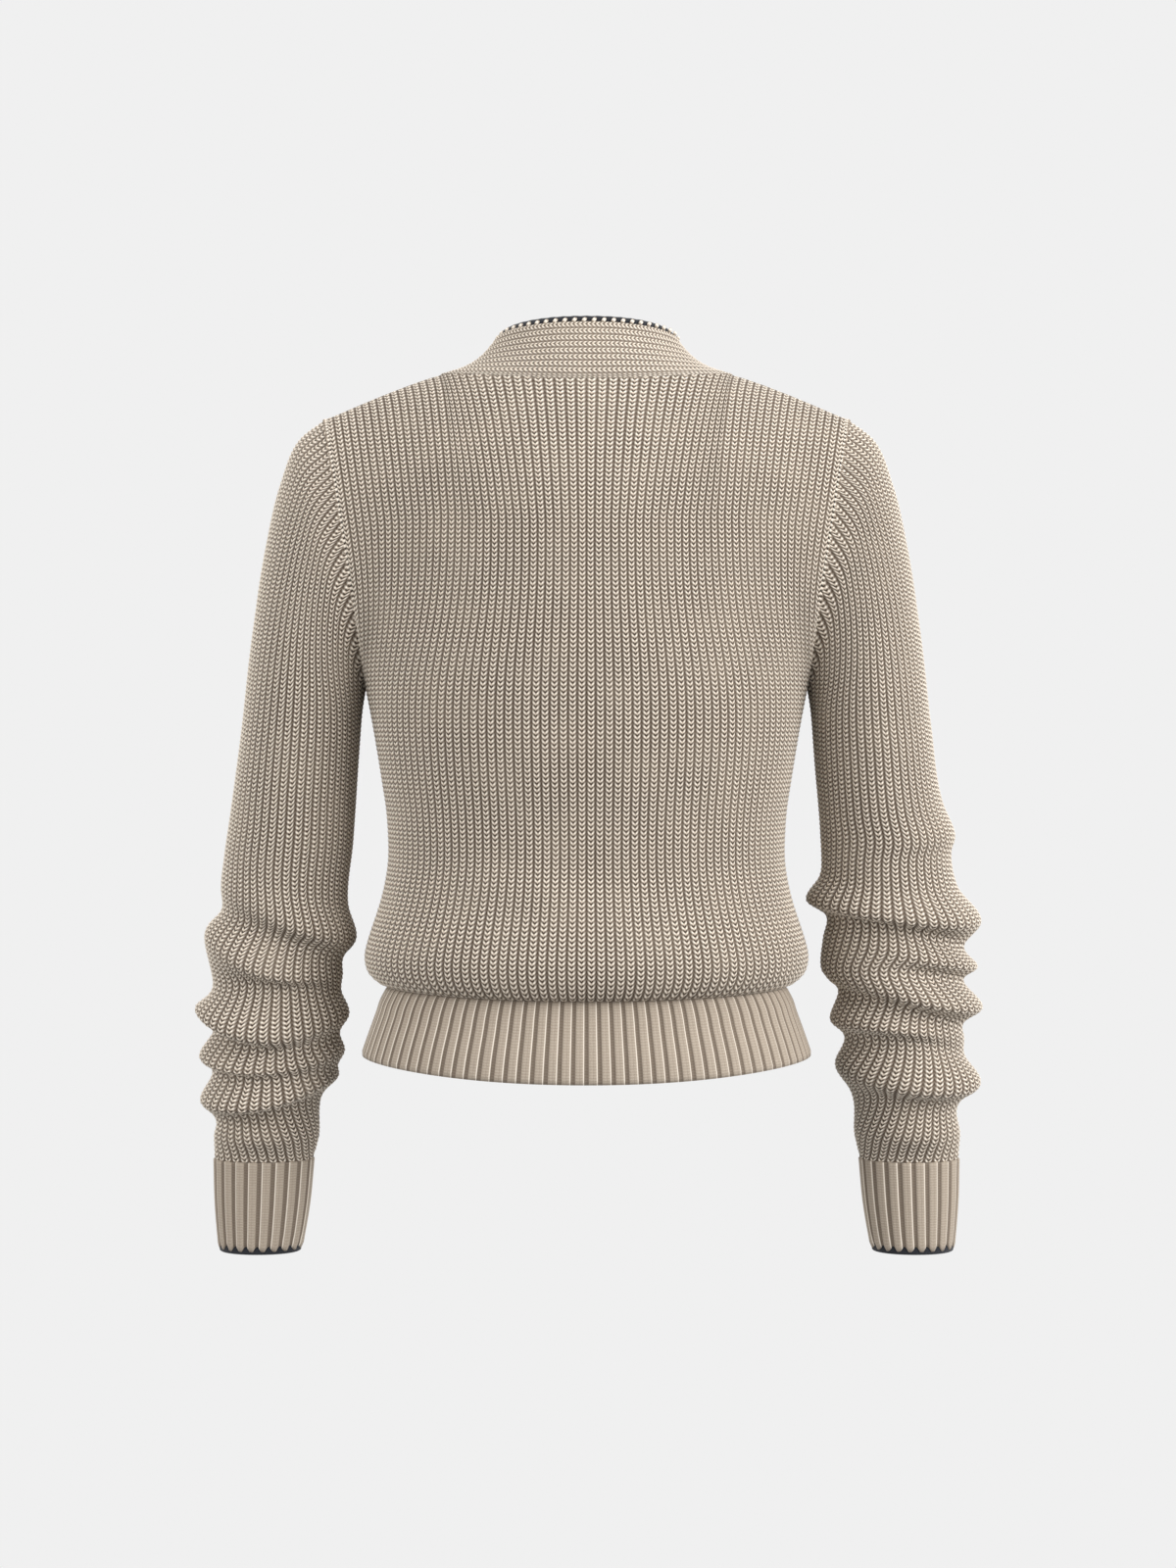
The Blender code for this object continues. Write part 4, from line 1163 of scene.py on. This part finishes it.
class ShaderTree:
    def __init__(self, name):
        self.material = bpy.data.materials.new(name)
        self.material.use_nodes = True
        self.nodes = self.material.node_tree.nodes
        self.links = self.material.node_tree.links
        self.surface = self.nodes["Principled BSDF"]

    def feed(self, node, inputs):
        for key, value in inputs.items():
            if isinstance(value, Wire):
                self.links.new(value.socket, node.inputs[key])
            else:
                node.inputs[key].default_value = value

    def node(self, kind, settings, inputs, output=0):
        made = self.nodes.new(kind)
        for key, value in settings.items():
            setattr(made, key, value)
        self.feed(made, inputs)
        return Wire(self, made.outputs[output])

    def place(self):  # where on the object, in metres
        return self.node("ShaderNodeTexCoord", {}, {}, output=3)

    def stitches(self):  # across the ribs and up the stitches, in counts of each
        knitPlace = self.node("ShaderNodeUVMap", {"uv_map": "knit"}, {})
        return [self.node("ShaderNodeSeparateXYZ", {}, {0: knitPlace}, output=axis) for axis in (0, 1)]

    def mix(self, share, first, second):
        first, second = (value if isinstance(value, Wire) else (*value, 1.0) for value in (first, second))
        return self.node("ShaderNodeMix", {"data_type": "RGBA"}, {0: share, 6: first, 7: second}, output=2)

    def noise(self, place, scale, detail=2.0, roughness=0.5):
        return self.node("ShaderNodeTexNoise", {}, {"Vector": place, "Scale": scale, "Detail": detail,
                                                    "Roughness": roughness})

    def finish(self, body, roughness, specular, bump, sheen=(0.0, 0.5)):
        strength, distance, height = bump
        normal = self.node("ShaderNodeBump", {}, {"Strength": strength, "Distance": distance,
                                                  "Height": height})
        self.feed(self.surface, {"Base Color": body, "Roughness": roughness, "Specular IOR Level": specular,
                                 "Normal": normal, "Sheen Weight": sheen[0], "Sheen Roughness": sheen[1]})
        return self.material


yarn = {
    # light: painted highlight on the raised stitch legs and the lit wale edges, also the pale end of the
    # yarn's random fleck
    "light": (0.960, 0.880, 0.775),
    "middle": (0.700, 0.600, 0.490),
    "shade": (0.072, 0.046, 0.029),
    # hole: painted shadow in the holes between each stitch's legs
    "hole": (0.035, 0.021, 0.013),
    "soft": (0.58, 0.49, 0.385),
    "bump": 0.00040,
    "sheenTint": (0.95, 0.90, 0.83, 1.0),
    "ribShade": (0.355, 0.296, 0.235),
    "ribLight": (0.58, 0.50, 0.415),
}


# A knit whose stitches get painted highlight and painted shade; depth sets how strong the painted shade is
def knitMaterial(name, depth=1.0):
    tree = ShaderTree(name)
    u, v = tree.stitches()
    place = tree.place()
    side = u.fromMiddle()
    phase = ((v - side * knitRelief["lean"]) * (2 * math.pi)).wave()
    # painted shade between the rows of legs
    gap = (1.0 - phase) ** 1.25
    # painted shadow in the hole between each stitch's legs
    hole = gap * (1.0 - side.between(0.26, 0.56))
    # painted shade in the valleys between the ribs
    valley = side.between(0.47, 0.76)
    valleyShadePhase = (v * (2 * math.pi) + 2.4).wave()
    # the raised legs, painted lighter as a highlight
    leg = phase.between(0.30, 0.85) * (1.0 - side.between(0.72, 0.95)) * side.between(0.08, 0.34)
    speck = tree.noise(place, 1900.0, 3.0, 0.7)
    cloud = tree.noise(place, 30.0, 3.0, 0.6)
    # painted highlight on the legs, mixed with the yarn's own random fleck
    body = tree.mix(leg + (speck - 0.5) * 0.7, yarn["middle"], yarn["light"])
    # painted shade in the gaps, the valleys and the holes, and a painted highlight on legs that reach into
    # the valleys
    body = tree.mix(gap * 0.62 * depth, body, yarn["shade"])
    body = tree.mix(valley * (0.74 + 0.26 * valleyShadePhase) * depth, body, yarn["shade"])
    body = tree.mix(leg * valley * 0.30, body, yarn["light"])
    body = tree.mix(hole * depth, body, yarn["hole"])
    body = tree.mix((cloud - 0.5) * 0.4 + 0.03, body, yarn["soft"])
    fibre = tree.noise(place, 2600.0, 4.0, 0.75)
    height = leg * 0.9 - hole * 0.8 + fibre * 0.55 - valley * 0.5
    tree.feed(tree.surface, {"Sheen Tint": yarn["sheenTint"]})
    return tree.finish(body, 0.92, 0.18, (0.75, yarn["bump"], height), (0.12, 0.55))


def ribMaterial(name):
    tree = ShaderTree(name)
    u, v = tree.stitches()
    place = tree.place()
    side = u.fromMiddle()
    # painted shade in the valleys between the wales
    valley = side.between(0.60, 0.72)
    across = u.fract()  # one edge of each wale catches the light
    edge = across.between(0.155, 0.195) * (1.0 - across.between(0.215, 0.275))
    # painted shade along the groove in each wale
    groove = 1.0 - side.between(0.02, 0.14)
    lean = (side * 6.0).fromMiddle()
    stitch = ((v + lean * 0.4) * (2 * math.pi)).wave()
    speck = tree.noise(place, 2100.0, 3.0, 0.75)
    body = tree.mix((speck - 0.5) * 1.7 + 0.42, yarn["ribShade"], yarn["ribLight"])
    # painted shade in the grooves, between the stitch rows and in the valleys
    body = tree.mix(groove * 0.10, body, yarn["shade"])
    body = tree.mix((1.0 - stitch) * 0.24, body, yarn["shade"])
    body = tree.mix(valley * (0.46 + 0.26 * stitch), body, yarn["shade"])
    body = tree.mix(edge * 0.7, body, yarn["light"])
    height = stitch * 0.5 + speck * 0.5 - groove * 0.6
    tree.feed(tree.surface, {"Sheen Tint": yarn["sheenTint"]})
    return tree.finish(body, 0.94, 0.15, (0.6, 0.00025, height), (0.2, 0.5))


def darkMaterial(name):
    tree = ShaderTree(name)
    place = tree.place()
    speck = tree.noise(place, 1800.0, 3.0, 0.7)
    twist = tree.node("ShaderNodeTexWave", {"wave_type": "BANDS", "bands_direction": "DIAGONAL"},
                      {"Vector": place, "Scale": 260.0, "Distortion": 2.0}, output=1)
    body = tree.mix(speck * 0.8, (0.006, 0.007, 0.010), (0.040, 0.044, 0.055))
    return tree.finish(body, 0.9, 0.15, (0.7, 0.0003, twist * 0.7 + speck), (0.25, 0.5))


def hornMaterial(name):
    tree = ShaderTree(name)
    place = tree.place()
    warped = tree.noise(place, 60.0, 2.0, 0.5)
    streak = tree.node("ShaderNodeTexWave", {"wave_type": "BANDS"},
                       {"Vector": place, "Scale": 90.0, "Distortion": 6.0, "Detail": 3.0}, output=1)
    body = tree.mix(streak * 0.7 + warped * 0.3, (0.012, 0.009, 0.007), (0.085, 0.052, 0.030))
    grain = tree.noise(place, 900.0, 2.0, 0.5)
    return tree.finish(body, grain * 0.15 + 0.28, 0.5, (0.12, 0.0001, grain))


knit = knitMaterial("halfCardiganKnit")
finish = {
    "knit": knit,
    # the strip gets a little less painted shade than the body knit
    "strip": knitMaterial("stripKnit", 0.88),
    "ribbing": ribMaterial("fineRibbing"),
    "dark": darkMaterial("charcoalTipping"),
    "horn": hornMaterial("darkHorn"),
    "thread": darkMaterial("charcoalThread"),
}
print("materials made")

made = {
    "back": panel("backKnit", "back", False, knit),
    "front_left": panel("frontLeftKnit", "front", False, knit),
    "front_right": panel("frontRightKnit", "front", True, knit),
    "sleeve_left": sleeve("sleeveLeftKnit", "left", 1.0, knit),
    "sleeve_right": sleeve("sleeveRightKnit", "right", -1.0, knit),
    "hem_back": hemPanel("hemBackRib", "back", False, finish["ribbing"]),
    "hem_front_left": hemPanel("hemFrontLeftRib", "front", False, finish["ribbing"]),
    "hem_front_right": hemPanel("hemFrontRightRib", "front", True, finish["ribbing"]),
    "cuff_left": cuff("cuffLeftRib", 1.0, finish["ribbing"]),
    "cuff_right": cuff("cuffRightRib", -1.0, finish["ribbing"]),
    "neckband": neckband("neckbandKnit", finish["strip"]),
    "neckband_tipping": neckTipping("neckbandEdge", finish["dark"]),
    "cuff_tipping_left": cuffTipping("cuffEdgeLeft", 1.0, finish["dark"]),
    "cuff_tipping_right": cuffTipping("cuffEdgeRight", -1.0, finish["dark"]),
}
loops = neckLoops("neckbandLoops", finish["strip"])
chains = [seamChain("armholeSeamLeft", 1.0, knit), seamChain("armholeSeamRight", -1.0, knit)]
for piece in [loops, *chains]:
    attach(piece, "root")
for node, piece in made.items():
    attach(piece, "root")
    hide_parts(node)
    "tipping" if "tipping" in node else "knit"
for number in range(1, 6):
    node = f"button_{number}"
    turned = button(number, node, finish["horn"])
    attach(turned, "root")
    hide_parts(node)
    thread = threadCross(number, node, finish["thread"])
    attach(thread, "root")
print("pieces made")

cameraForm = {"distance": 1.9, "height": -0.2919, "side": -0.00105, "frameHeight": 1.120, "sensor": 36.0}
eye = bpy.data.cameras.new("camera")
eye.sensor_width = cameraForm["sensor"]
eye.lens = cameraForm["sensor"] * cameraForm["distance"] / cameraForm["frameHeight"]
camera = bpy.data.objects.new("camera", eye)
camera.location = (cameraForm["side"], cameraForm["distance"], cameraForm["height"])
camera.rotation_euler = (math.pi / 2, 0.0, math.pi)
bpy.context.scene.collection.objects.link(camera)
bpy.context.scene.camera = camera
bpy.context.scene.view_settings.view_transform = "Standard"

studio = {
    "backdrop": 0.871,
    "white": (1.0, 1.0, 1.0, 1.0),
    "fill": 0.72,
    "warm": (1.0, 0.985, 0.96, 1.0),
    "target": (0.0, 0.0, -0.3),
    "lights": {  # place, size and power
        "key": ((-2.1, 1.3, 0.5), 1.8, 67.0),
        "side": ((2.1, 1.3, 0.5), 1.8, 31.0),
        "top": ((0.0, 0.3, 1.7), 1.6, 9.0),
        "front": ((0.2, -2.2, 0.8), 1.8, 26.0),
    },
    "floor": -0.95,
    "floorColour": (0.30, 0.30, 0.30, 1.0),
}
for name, (place, size, power) in studio["lights"].items():
    light = bpy.data.lights.new(name, "AREA")
    light.shape = "SQUARE"
    light.size = size
    light.energy = power
    obj = bpy.data.objects.new(name, light)
    obj.location = place
    obj.rotation_euler = (Vector(studio["target"]) - Vector(place)).to_track_quat("-Z", "Y").to_euler()
    bpy.context.scene.collection.objects.link(obj)


def shine(tree, kind, strength, tint):
    node = tree.nodes.new(kind)
    node.inputs["Color"].default_value = tint
    node.inputs["Strength"].default_value = strength
    return node.outputs[0]


def seenAs(tree, lit, seen, surface):  # the camera sees one shader, the light meets the other
    path = tree.nodes.new("ShaderNodeLightPath")
    choice = tree.nodes.new("ShaderNodeMixShader")
    tree.links.new(path.outputs["Is Camera Ray"], choice.inputs["Fac"])
    tree.links.new(lit, choice.inputs[1])
    tree.links.new(seen, choice.inputs[2])
    tree.links.new(choice.outputs["Shader"], surface)


world = bpy.data.worlds.new("studio")
bpy.context.scene.world = world
world.use_nodes = True
air = world.node_tree
air.nodes.clear()
seenAs(air, shine(air, "ShaderNodeBackground", studio["fill"], studio["warm"]),
       shine(air, "ShaderNodeBackground", studio["backdrop"], studio["white"]),
       air.nodes.new("ShaderNodeOutputWorld").inputs["Surface"])

bpy.ops.mesh.primitive_plane_add(size=40.0, location=(0.0, 0.0, studio["floor"]))
floor = bpy.context.object
floor.name = "studioFloor"
floorTree = ShaderTree("paleFloor")  # as bright as the backdrop, and it casts little light upward
floorTree.feed(floorTree.surface, {"Base Color": studio["floorColour"], "Specular IOR Level": 0.0})
seenAs(floorTree, floorTree.surface.outputs["BSDF"],
       shine(floorTree, "ShaderNodeEmission", studio["backdrop"], studio["white"]),
       floorTree.nodes["Material Output"].inputs["Surface"])
floor.data.materials.append(floorTree.material)
print("camera, light and floor made")
